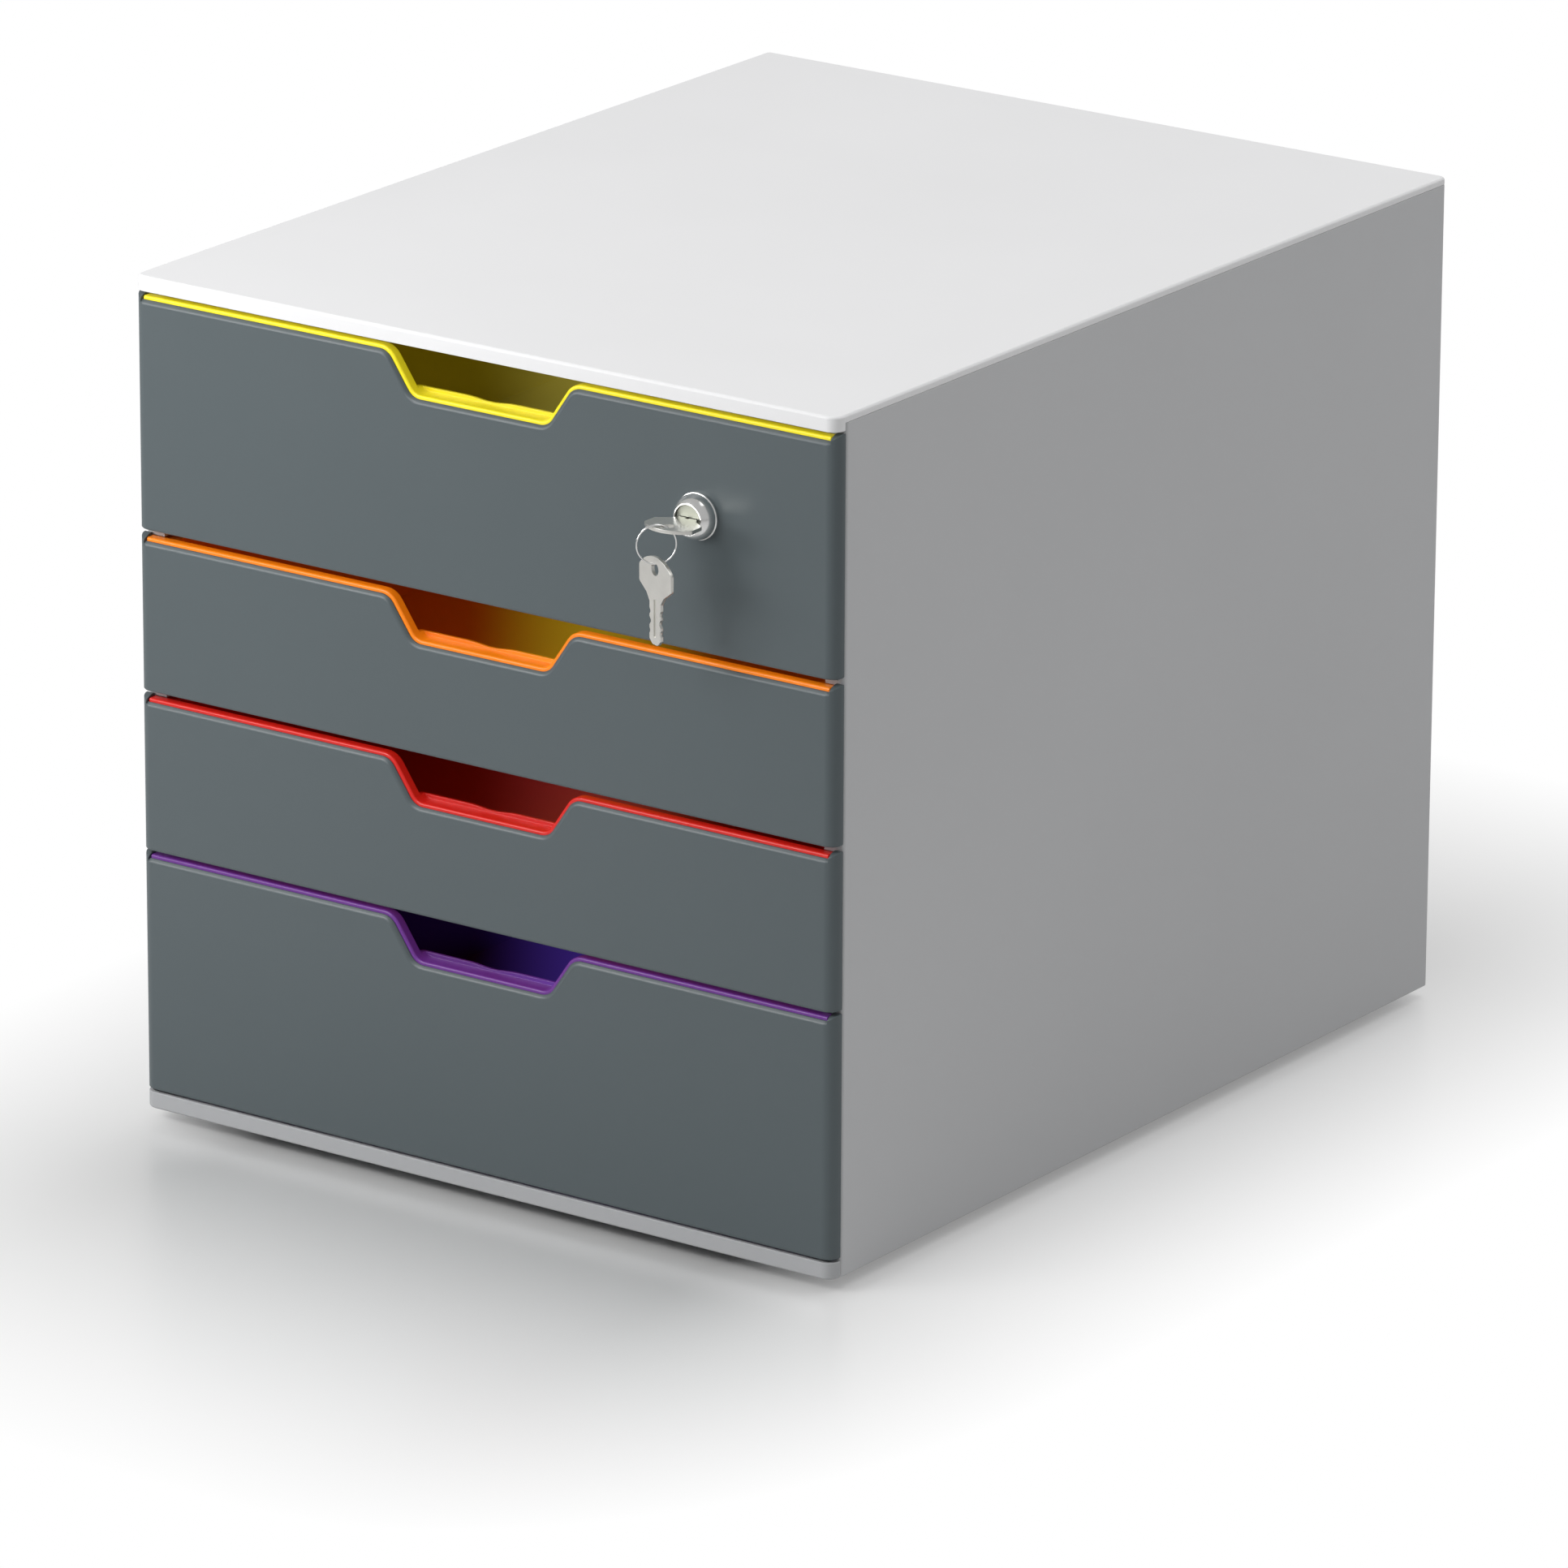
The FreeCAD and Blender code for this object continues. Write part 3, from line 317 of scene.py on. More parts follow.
@dataclass(frozen=True)
class Moulding(Finish):
    """Injection-moulded plastic with a fine satin texture from its mould."""

    roughness: float = 0.36
    gloss: float = 0.5
    refraction: float = 1.46
    # Painted glow: its strength on the ledge in front of ledge_end, and the colour of a painted
    # pool of light in a band behind the cut-out
    painted_rim_glow: float = 0.0
    painted_inner_glow: Colour = (0.0, 0.0, 0.0)
    ledge_end: float = 0.0
    band_across: Point3 = (0.816, 0.578, 0.0)
    band_middle: float = -60 * MM
    band_reach: float = 45 * MM
    grain_depth: float = 0.012 * MM
    grain_size: float = 0.45 * MM
    fleck_share: float = 0.35
    relief: float = 0.6
    cloud_scale: float = 7.0
    drift: float = 0.03
    handling_scale: float = 38.0
    handling: float = 0.08
    tooth: float = 0.04

    def shader(self, bench: Bench) -> bpy.types.Node:
        """Plastic whose shade, shine and texture vary a little.

        Args:
            bench: Tree of the material.

        Returns:
            The Principled shader.
        """
        cloud = bench.noise(self.cloud_scale, detail=3.0)
        handled = bench.noise(self.handling_scale, detail=4.0)
        grain = bench.noise(1.0 / self.grain_size, detail=1.0)
        fleck = bench.noise(self.fleck_share / self.grain_size, detail=2.0)
        base = bench.shade(cloud, tint(self.colour, 1 - self.drift),
                           tint(self.colour, 1 + self.drift))
        rough = (self.roughness - (self.handling + self.tooth) / 2
                 + self.handling * handled + self.tooth * grain)
        normal = bench.bump((grain + fleck) * 0.5, self.grain_depth, self.relief)
        shader = bench.node("ShaderNodeBsdfPrincipled", None,
                            {"Base Color": base, "Roughness": rough, "Normal": normal,
                             "Specular IOR Level": self.gloss, "IOR": self.refraction})
        # Painted light: the tray plastic glows by emission
        if self.painted_rim_glow:
            shader.inputs["Emission Strength"].default_value = 1.0
            bench.tree.links.new(self._glow(bench), shader.inputs["Emission Color"])
        return shader

    def _glow(self, bench: Bench) -> bpy.types.NodeSocket:
        """Painted light of the bright plastic, which glows though it is no lamp.

        Args:
            bench: Tree of the material.

        Returns:
            The colour of the painted glow: even on the ledge, and a soft band behind the cut-out,
                a painted pool of light.
        """
        place = bench.node("ShaderNodeTexCoord").outputs["Object"]
        depth = bench.value(bench.node("ShaderNodeSeparateXYZ", None, {0: place}), "Y")
        slant = bench.node("ShaderNodeVectorMath", {"operation": "DOT_PRODUCT"},
                           {0: place, 1: self.band_across})
        away = abs(bench.value(slant, "Value") - self.band_middle)
        band = bench.node("ShaderNodeMapRange", {"interpolation_type": "SMOOTHSTEP"},
                          {"Value": away, "From Min": self.band_reach, "From Max": 0.0})
        inner = bench.shade(bench.value(band), (0.0, 0.0, 0.0), self.painted_inner_glow)
        return bench.shade(depth.below(self.ledge_end), inner, tint(self.colour, self.painted_rim_glow))


@dataclass(frozen=True)
class Plating(Finish):
    """Bright plated metal with faint polishing marks."""

    roughness: float = 0.17
    polish: float = 0.03
    mark_depth: float = 0.004 * MM
    mark_scale: float = 900.0
    mark_stretch: Point3 = (1.0, 0.15, 1.0)
    relief: float = 0.5
    haze_scale: float = 260.0
    haze_shades: Point2 = (0.94, 1.04)
    haze_blur: float = 0.08

    def shader(self, bench: Bench) -> bpy.types.Node:
        """Bright metal, duller where the haze is.

        Args:
            bench: Tree of the material.

        Returns:
            The Principled shader.
        """
        marks = bench.noise(self.mark_scale, detail=3.0, stretch=self.mark_stretch)
        haze = bench.noise(self.haze_scale, detail=3.0)
        base = bench.shade(haze, *(tint(self.colour, shade) for shade in self.haze_shades))
        rough = self.roughness - self.polish + self.haze_blur * haze
        normal = bench.bump(marks, self.mark_depth, self.relief)
        return bench.node("ShaderNodeBsdfPrincipled", None,
                          {"Base Color": base, "Roughness": rough, "Normal": normal,
                           "Metallic": 1.0})


@dataclass(frozen=True)
class StampedMetal(Finish):
    """Stamped metal sheet, tumbled until its faces are softly pitted."""

    roughness: float = 0.33
    pit_depth: float = 0.02 * MM
    pit_size: float = 0.5 * MM
    pit_blur: float = 0.16
    relief: float = 0.6
    scratch_scale: float = 1400.0
    scratch_stretch: Point3 = (1.0, 0.12, 1.0)
    scratch_share: float = 0.3
    tarnish_scale: float = 150.0
    tarnish_shades: Point2 = (0.86, 1.08)

    def shader(self, bench: Bench) -> bpy.types.Node:
        """Pitted metal with fine scratches and a little tarnish.

        Args:
            bench: Tree of the material.

        Returns:
            The Principled shader.
        """
        pits = bench.noise(1.0 / self.pit_size, detail=4.0)
        scratches = bench.noise(self.scratch_scale, detail=2.0, stretch=self.scratch_stretch)
        tarnish = bench.noise(self.tarnish_scale, detail=3.0)
        base = bench.shade(tarnish, *(tint(self.colour, shade) for shade in self.tarnish_shades))
        rough = self.roughness - self.pit_blur / 2 + self.pit_blur * pits
        height = pits * (1 - self.scratch_share) + scratches * self.scratch_share
        normal = bench.bump(height, self.pit_depth, self.relief)
        return bench.node("ShaderNodeBsdfPrincipled", None,
                          {"Base Color": base, "Roughness": rough, "Normal": normal,
                           "Metallic": 1.0})


@dataclass(frozen=True)
class Rubber(Finish):
    """Soft matt rubber with dust in its texture."""

    roughness: float = 0.7
    dust_blur: float = 0.2
    dust_scale: float = 420.0
    dust_shade: float = 2.2
    texture_scale: float = 1500.0
    texture_depth: float = 0.03 * MM
    relief: float = 0.7

    def shader(self, bench: Bench) -> bpy.types.Node:
        """Dark rubber, paler and duller where the dust is.

        Args:
            bench: Tree of the material.

        Returns:
            The Principled shader.
        """
        dust = bench.noise(self.dust_scale, detail=5.0)
        texture = bench.noise(self.texture_scale, detail=2.0)
        base = bench.shade(dust, self.colour, tint(self.colour, self.dust_shade))
        normal = bench.bump(texture, self.texture_depth, self.relief)
        return bench.node("ShaderNodeBsdfPrincipled", None,
                          {"Base Color": base, "Roughness": self.roughness
                           + self.dust_blur * dust, "Normal": normal})


# The base and the plug are darker than the other pieces of their slots: painted shade on the
# base, and on the plug painted shade of its recess
COVER_WHITE = Moulding("cover_white", (0.80, 0.80, 0.807), roughness=0.42)
WALL_GREY = Moulding("wall_grey", (0.53, 0.535, 0.545), roughness=0.42)
SHADED_BASE_GREY = Moulding("wall_grey", (0.42, 0.427, 0.438), variant="_base", roughness=0.42)
FRONT_GREY = Moulding("front_grey", (0.088, 0.109, 0.117))
FOOT_RUBBER = Rubber("foot_rubber", (0.025, 0.025, 0.025))
LOCK_CHROME = Plating("lock_chrome", (0.93, 0.93, 0.92))
# The plug's dark colour is painted shade of the recess it sits in; its higher roughness is its
# own
SHADED_PLUG_CHROME = Plating("lock_chrome", (0.30, 0.31, 0.27), variant="_dull_painted_shade", roughness=0.42)
LOCK_STEEL = StampedMetal("lock_steel", (0.62, 0.62, 0.61), roughness=0.34)
KEY_NICKEL = StampedMetal("key_nickel", (0.82, 0.81, 0.765))


def settled(piece: bpy.types.Object) -> bpy.types.Object:
    """Turns the modifiers of a piece into its plain mesh.

    Args:
        piece: Mesh object with modifiers.

    Returns:
        The same object.
    """
    graph = bpy.context.evaluated_depsgraph_get()
    graph.update()
    mesh = bpy.data.meshes.new_from_object(piece.evaluated_get(graph), depsgraph=graph)
    piece.modifiers.clear()
    old = piece.data
    piece.data = mesh
    bpy.data.meshes.remove(old)
    return piece


def linked(name: str, mesh: bpy.types.Mesh) -> bpy.types.Object:
    """Adds a mesh to the scene.

    Args:
        name: Name of the new object.
        mesh: Its mesh.

    Returns:
        The object.
    """
    piece = bpy.data.objects.new(name, mesh)
    bpy.context.scene.collection.objects.link(piece)
    return piece


def evened(piece: bpy.types.Object, sharp: float = 38.0) -> bpy.types.Object:
    """Shades a piece smoothly with crisp edges and flat faces.

    Args:
        piece: Mesh object.
        sharp: Angle in degrees above which an edge stays crisp.

    Returns:
        The same object.
    """
    for face in piece.data.polygons:
        face.use_smooth = True
    piece.data.set_sharp_from_angle(angle=math.radians(sharp))
    even = piece.modifiers.new("even", "WEIGHTED_NORMAL")
    even.keep_sharp = True
    return settled(piece)


def softened(node: str, name: str, rounding: float, share: Callable[[Vector], float],
             segments: int = 3) -> bpy.types.Object:
    """Copy of a CAD node with its chosen edges rounded.

    Args:
        node: Node to copy.
        name: Name of the new piece.
        rounding: Greatest width of the rounding in metres.
        share: Share of the rounding that the edge with this middle gets, or zero.
        segments: Steps of the rounding.

    Returns:
        The finished object.
    """
    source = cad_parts[node].data
    mesh = bpy.data.meshes.new(name)
    mesh.from_pydata([tuple(vertex.co) for vertex in source.vertices], [],
                     [tuple(face.vertices) for face in source.polygons])
    shape = bmesh.new()
    shape.from_mesh(mesh)
    bmesh.ops.remove_doubles(shape, verts=shape.verts, dist=MERGE)
    bmesh.ops.dissolve_limit(shape, angle_limit=FLAT_ANGLE, verts=shape.verts[:],
                             edges=shape.edges[:], use_dissolve_boundaries=False)
    weight = shape.edges.layers.float.new("bevel_weight_edge")
    for edge in shape.edges:
        middle = (edge.verts[0].co + edge.verts[1].co) / 2
        bent = len(edge.link_faces) == 2 and edge.calc_face_angle() > SHARP_ANGLE
        if bent:
            edge[weight] = float(share(middle))
    shape.to_mesh(mesh)
    shape.free()
    piece = linked(name, mesh)
    bevel = piece.modifiers.new("rounding", "BEVEL")
    bevel.limit_method = "WEIGHT"
    bevel.width = rounding
    bevel.segments = segments
    bevel.use_clamp_overlap = False
    return evened(settled(piece))


def dressed(piece: bpy.types.Object, finish: Finish, body: str, *nodes: str) -> bpy.types.Object:
    """Gives a finished piece its finish and its body.

    Args:
        piece: Finished object.
        finish: Finish of its surface.
        body: Body it moves with.
        nodes: CAD nodes it stands for.

    Returns:
        The same object.
    """
    piece.data.materials.clear()
    piece.data.materials.append(finish.material())
    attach(piece, body)
    if nodes:
        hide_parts(*nodes)
    LOG.info("%s rides on %s, %d faces", piece.name, body, len(piece.data.polygons))
    return piece


def kept(node: str, finish: Finish) -> None:
    """Gives a CAD node that stays as it is its finish.

    Args:
        node: Name of the node.
        finish: Finish of its surface.
    """
    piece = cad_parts[node]
    piece.data.materials.clear()
    piece.data.materials.append(finish.material())
    LOG.info("%s keeps its form", node)


def rounded_path(corners: Sequence[Corner], steps: int = 6) -> list[Point2]:
    """Closed outline with each corner rounded.

    Args:
        corners: Both coordinates and the rounding's radius at each corner, in order.
        steps: Steps of each arc.

    Returns:
        Points of the rounded outline.
    """
    path: list[Point2] = []
    places = [Vector(corner[:2]) for corner in corners]
    for index, (here, corner) in enumerate(zip(places, corners)):
        radius = corner[2]
        if radius <= 0:
            path.append(tuple(here))
            continue
        before = (places[index - 1] - here).normalized()
        after = (places[(index + 1) % len(places)] - here).normalized()
        half = before.angle(after) / 2
        run = radius / math.tan(half)
        centre = here + (before + after).normalized() * (radius / math.sin(half))
        start, end = here + before * run, here + after * run
        for step in range(steps + 1):
            arm = (start - centre).slerp(end - centre, step / steps)
            path.append(tuple(centre + arm.normalized() * radius))
    return path


def turned_mesh(name: str, profile: Sequence[Point2], centre: Vector,
                around: int = 96) -> bpy.types.Mesh:
    """Closed solid turned about a front-to-back axis.

    Args:
        name: Name of the mesh.
        profile: Closed outline of (radius, depth) points.
        centre: Point on the axis.
        around: Steps of the turn.

    Returns:
        The mesh.
    """
    count = len(profile)
    vertices = []
    for step in range(around):
        turn = math.tau * step / around
        vertices += [(centre.x + radius * math.cos(turn), centre.y + depth,
                      centre.z + radius * math.sin(turn)) for radius, depth in profile]
    faces = []
    for step in range(around):
        here, there = step * count, (step + 1) % around * count
        for index in range(count):
            following = (index + 1) % count
            faces.append((here + index, here + following, there + following, there + index))
    mesh = bpy.data.meshes.new(name)
    mesh.from_pydata(vertices, [], faces)
    shape = bmesh.new()
    shape.from_mesh(mesh)
    bmesh.ops.remove_doubles(shape, verts=shape.verts, dist=MERGE)
    bmesh.ops.recalc_face_normals(shape, faces=shape.faces)
    shape.to_mesh(mesh)
    shape.free()
    return mesh


class CoilTree:
    """Geometry node tree that sweeps a section along a helix."""

    def __init__(self, name: str, around: int = 96) -> None:
        """Builds the tree.

        Args:
            name: Name of the tree.
            around: Steps of one turn.
        """
        self.tree = bpy.data.node_groups.new(name, "GeometryNodeTree")
        face = self.tree.interface
        face.new_socket("Geometry", in_out="OUTPUT", socket_type="NodeSocketGeometry")
        for title in ("Turns", "Radius", "Length", "Section"):
            face.new_socket(title, in_out="INPUT", socket_type="NodeSocketFloat")
        face.new_socket("Sides", in_out="INPUT", socket_type="NodeSocketInt")
        face.new_socket("Finish", in_out="INPUT", socket_type="NodeSocketMaterial")
        nodes, links = self.tree.nodes, self.tree.links
        sizes = nodes.new("NodeGroupInput").outputs
        helix = nodes.new("GeometryNodeCurveSpiral")
        helix.inputs["Resolution"].default_value = around
        for title in ("Start Radius", "End Radius"):
            links.new(sizes["Radius"], helix.inputs[title])
        links.new(sizes["Turns"], helix.inputs["Rotations"])
        links.new(sizes["Length"], helix.inputs["Height"])
        section = nodes.new("GeometryNodeCurvePrimitiveCircle")
        links.new(sizes["Sides"], section.inputs["Resolution"])
        links.new(sizes["Section"], section.inputs["Radius"])
        sweep = nodes.new("GeometryNodeCurveToMesh")
        sweep.inputs["Fill Caps"].default_value = True
        links.new(helix.outputs[0], sweep.inputs["Curve"])
        links.new(section.outputs[0], sweep.inputs["Profile Curve"])
        whole = nodes.new("GeometryNodeRealizeInstances")
        links.new(sweep.outputs[0], whole.inputs[0])
        finish = nodes.new("GeometryNodeSetMaterial")
        links.new(whole.outputs[0], finish.inputs["Geometry"])
        links.new(sizes["Finish"], finish.inputs["Material"])
        result = nodes.new("NodeGroupOutput")
        links.new(finish.outputs[0], result.inputs[0])

    def swept(self, name: str, sizes: dict[str, object], place: Matrix) -> bpy.types.Object:
        """Runs the tree with given sizes.

        Args:
            name: Name of the new piece.
            sizes: Value of each named input.
            place: Where the helix goes, which is made about Z.

        Returns:
            The piece as a plain mesh.
        """
        piece = linked(name, bpy.data.meshes.new(name))
        modifier = piece.modifiers.new("coil", "NODES")
        modifier.node_group = self.tree
        for item in self.tree.interface.items_tree:
            if item.in_out == "INPUT":
                modifier[item.identifier] = sizes[item.name]
        settled(piece)
        piece.data.transform(place)
        return piece


@dataclass
class Housing:
    """Cover, base, side walls, back and feet.

    A band is the distance from an outer face within which edges are rounded.
    """

    cover_rounding: float = 0.3 * MM
    base_rounding: float = 0.25 * MM
    wall_rounding: float = 0.35 * MM
    foot_rounding: float = 0.7 * MM
    outer_band: float = 3.2 * MM
    strip_band: float = 6 * MM
    skin_band: float = 2 * MM
    end_band: float = 1 * MM
    front_band: float = 0.5 * MM
    walls: dict[Side, str] = field(default_factory=lambda: {
        Side.LEFT: "side_wall_left", Side.RIGHT: "side_wall_right"})

    def cover(self) -> None:
        """Pale cover with softly rounded edges."""
        low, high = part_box("top_cover")
        piece = softened("top_cover", "cover", self.cover_rounding,
                         lambda place: self._outside(place, low, high))
        dressed(piece, COVER_WHITE, "housing", "top_cover")

    def base(self) -> None:
        """Base with its front strip."""
        low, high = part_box("base_plate")
        piece = softened("base_plate", "base", self.base_rounding,
                         lambda place: self._outside(place, low, high)
                         and place.y < low.y + self.strip_band)
        dressed(piece, SHADED_BASE_GREY, "housing", "base_plate")

    def side_walls(self) -> None:
        """Side walls with rails, rounded where they can be seen."""
        for side, node in self.walls.items():
            low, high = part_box(node)
            outer = high.x if side is Side.RIGHT else low.x
            piece = softened(node, "wall_" + side.name.lower(), self.wall_rounding,
                             lambda place, outer=outer, low=low, high=high:
                             abs(place.x - outer) < self.skin_band
                             and (place.z < low.z + self.end_band
                                  or place.z > high.z - self.end_band
                                  or place.y < low.y + self.front_band))
            dressed(piece, WALL_GREY, "housing", node)

    def feet(self) -> None:
        """Round rubber feet with a soft lower edge."""
        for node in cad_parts:
            if node.startswith("foot_"):
                piece = softened(node, node.replace("foot", "pad"), self.foot_rounding,
                                 lambda place: place.z < self.end_band, segments=4)
                dressed(piece, FOOT_RUBBER, "housing", node)

    def _outside(self, place: Vector, low: Vector, high: Vector) -> bool:
        """True for a place on the outer edge of a box seen from above."""
        return (min(place.x - low.x, high.x - place.x, place.y - low.y, high.y - place.y)
                < self.outer_band)

    def build(self) -> None:
        """Makes every piece of the housing."""
        self.cover()
        self.base()
        self.side_walls()
        self.feet()
        kept("back_wall", WALL_GREY)
        kept("lock_strike", LOCK_STEEL)


@dataclass
class Drawer:
    """One coloured tray with its slate front.

    Bands, heights and depths say how far from the piece's own box edges are rounded.
    """

    number: int
    colour: TrayColour
    front_rounding: float = 0.6 * MM
    rim_share: float = 0.33
    corner_band: float = 2 * MM
    rim_band: float = 20 * MM
    face_depth: float = 0.2 * MM
    rim_depth: float = 1.1 * MM
    tray_rounding: float = 0.2 * MM
    ledge_height: float = 19 * MM
    ledge_reach: float = 9 * MM
    ledge_depth: float = 5.4 * MM
    tray_roughness: float = 0.3
    tray_grain: float = 0.004 * MM
    # Strengths of the painted glow on the ledge and of the painted pool of light inside the tray
    painted_rim_glow: float = 0.2
    painted_inner_glow: float = 0.13

    @property
    def body(self) -> str:
        """Name of the body that slides."""
        return f"drawer_{self.number}"

    def front(self) -> None:
        """Slate front with a rounded rim, round the cut-out too."""
        node = self.body + "_front"
        low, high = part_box(node)
        piece = softened(node, f"front_{self.number}", self.front_rounding,
                         lambda place: self._front_share(place, low, high), segments=4)
        dressed(piece, FRONT_GREY, self.body, node)

    def _front_share(self, place: Vector, low: Vector, high: Vector) -> float:
        """Share of the rounding at a place on the front.

        Args:
            place: Middle of an edge.
            low: Lowest corner of the front's box.
            high: Highest corner of it.

        Returns:
            One along the face, less on the thin top of the rim, and zero elsewhere.
        """
        depth = place.y - low.y
        if low.z + self.corner_band < place.z < high.z - self.rim_band or depth > self.rim_depth:
            return 0.0
        return 1.0 if depth < self.face_depth else self.rim_share

    def tray(self) -> None:
        """Coloured tray with a softened ledge and rim."""
        node = self.body + "_tray"
        low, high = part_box(node)
        piece = softened(node, f"tray_{self.number}", self.tray_rounding,
                         lambda place: place.z > high.z - self.ledge_height
                         and place.y < low.y + self.ledge_reach)
        # The tray's finish carries the painted glow
        finish = Moulding(self.colour.slot, self.colour.colour, roughness=self.tray_roughness,
                          painted_rim_glow=self.painted_rim_glow,
                          painted_inner_glow=tint(self.colour.inside, self.painted_inner_glow),
                          ledge_end=low.y + self.ledge_depth, grain_depth=self.tray_grain)
        dressed(piece, finish, self.body, node)

    def build(self) -> None:
        """Makes the front and the tray."""
        self.front()
        self.tray()


@dataclass
class CamLock:
    """Cam lock of the top front: bezel, barrel, plug, nut, cam and screw."""

    bezel_radius: float = 7.9 * MM
    bezel_edge: float = 1.1 * MM
    bezel_out: float = 6.0 * MM
    shoulder_radius: float = 7.55 * MM
    face_radius: float = 5.4 * MM
    mouth_radius: float = 4.95 * MM
    bore_radius: float = 4.35 * MM
    seat_depth: float = 3.2 * MM
    barrel_radius: float = 6.0 * MM
    barrel_end: float = 16.0 * MM
    rim_rounding: float = 0.3 * MM
    shoulder_rounding: float = 0.1 * MM
    face_rounding: float = 0.2 * MM
    fine_rounding: float = 0.12 * MM
    dome_steps: int = 12
    arc_steps: int = 5
    around: int = 128
    crisp: float = 30.0
    thread_height: float = 0.3 * MM
    thread_pitch: float = 1.0 * MM
    thread_start: float = 8.0 * MM
    thread_inset: float = 0.36 * MM
    flat: float = 5.3 * MM
    plug_band: float = 0.5 * MM
    nut_rounding: float = 0.25 * MM
    cam_rounding: float = 0.15 * MM
    screw_rounding: float = 0.3 * MM
    screw_band: float = 0.2 * MM

    def centre(self) -> Vector:
        """Point of the lock's axis in the plane of the front."""
        low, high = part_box("lock_body")
        return Vector(((low.x + high.x) / 2, low.y + self.bezel_out, (low.z + high.z) / 2))

    def bezel(self) -> None:
        """Plated bezel, flange and barrel in one turned piece."""
        out, edge = -self.bezel_out, -self.bezel_edge
        rise = self.shoulder_radius - self.face_radius
        reach = self.bezel_out - self.bezel_edge
        dome = (rise ** 2 + reach ** 2) / (2 * rise)
        sweep = math.asin(reach / dome)
        dome_turns = [sweep * step / self.dome_steps for step in range(self.dome_steps)]
        arc = [(self.shoulder_radius - dome * (1 - math.cos(turn)), edge - dome * math.sin(turn),
                0.0) for turn in dome_turns]
        root = self.barrel_radius - self.thread_height
        seat = out + self.seat_depth
        path = rounded_path([
            (self.bezel_radius, 0.0, self.fine_rounding),
            (self.bezel_radius, edge, self.rim_rounding),
            (*arc[0][:2], self.shoulder_rounding), *arc[1:],
            (self.face_radius, out, self.face_rounding),
            (self.mouth_radius, out, self.fine_rounding), (self.mouth_radius, seat, 0.0),
            (self.bore_radius, seat, 0.0), (self.bore_radius, self.barrel_end, 0.0),
            (root, self.barrel_end, self.face_rounding), (root, self.thread_start, 0.0),
            (self.barrel_radius, self.thread_start, 0.0), (self.barrel_radius, 0.0, 0.0)],
            self.arc_steps)
        mesh = turned_mesh("lock_bezel", path, self.centre(), self.around)
        self._flatten(mesh)
        piece = evened(linked("lock_bezel", mesh), self.crisp)
        dressed(piece, LOCK_CHROME, "drawer_1", "lock_body")

    def _flatten(self, mesh: bpy.types.Mesh) -> None:
        """Cuts the barrel's two flats into a mesh.

        Args:
            mesh: Barrel or thread, already in its place.
        """
        centre = self.centre()
        for vertex in mesh.vertices:
            across = vertex.co.x - centre.x
            if vertex.co.y > centre.y + self.thread_start - MERGE and abs(across) > self.flat:
                vertex.co.x = centre.x + math.copysign(self.flat, across)

    def thread(self) -> None:
        """Thread on the barrel behind its nut."""
        length = self.barrel_end - self.thread_start - 2 * self.thread_inset
        start = self.centre() + Vector((0, self.thread_start + self.thread_inset, 0))
        place = Matrix.Translation(start) @ Matrix.Rotation(math.radians(-90), 4, "X")
        coil = CoilTree("barrel_thread").swept("lock_thread", {
            "Turns": length / self.thread_pitch,
            "Radius": self.barrel_radius - self.thread_height, "Length": length,
            "Section": self.thread_height, "Sides": 4,
            "Finish": LOCK_CHROME.material()}, place)
        self._flatten(coil.data)
        dressed(evened(coil, self.crisp), LOCK_CHROME, "drawer_1")

    def plug(self) -> None:
        """Plug with its keyway, softened round its face."""
        low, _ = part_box("lock_plug")
        piece = softened("lock_plug", "plug", self.fine_rounding,
                         lambda place: place.y < low.y + self.plug_band, segments=2)
        dressed(piece, SHADED_PLUG_CHROME, "lock_core", "lock_plug")

    def fittings(self) -> None:
        """Nut, cam and screw inside the drawer."""
        nut = softened("lock_nut", "nut", self.nut_rounding, lambda place: True, segments=2)
        dressed(nut, LOCK_STEEL, "drawer_1", "lock_nut")
        cam = softened("lock_cam", "cam", self.cam_rounding, lambda place: True, segments=2)
        dressed(cam, LOCK_STEEL, "lock_core", "lock_cam")
        _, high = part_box("cam_screw")
        screw = softened("cam_screw", "screw", self.screw_rounding,
                         lambda place: place.y > high.y - self.screw_band)
        dressed(screw, LOCK_STEEL, "lock_core", "cam_screw")

    def build(self) -> None:
        """Makes every piece of the lock."""
        self.bezel()
        self.thread()
        self.plug()
        self.fittings()


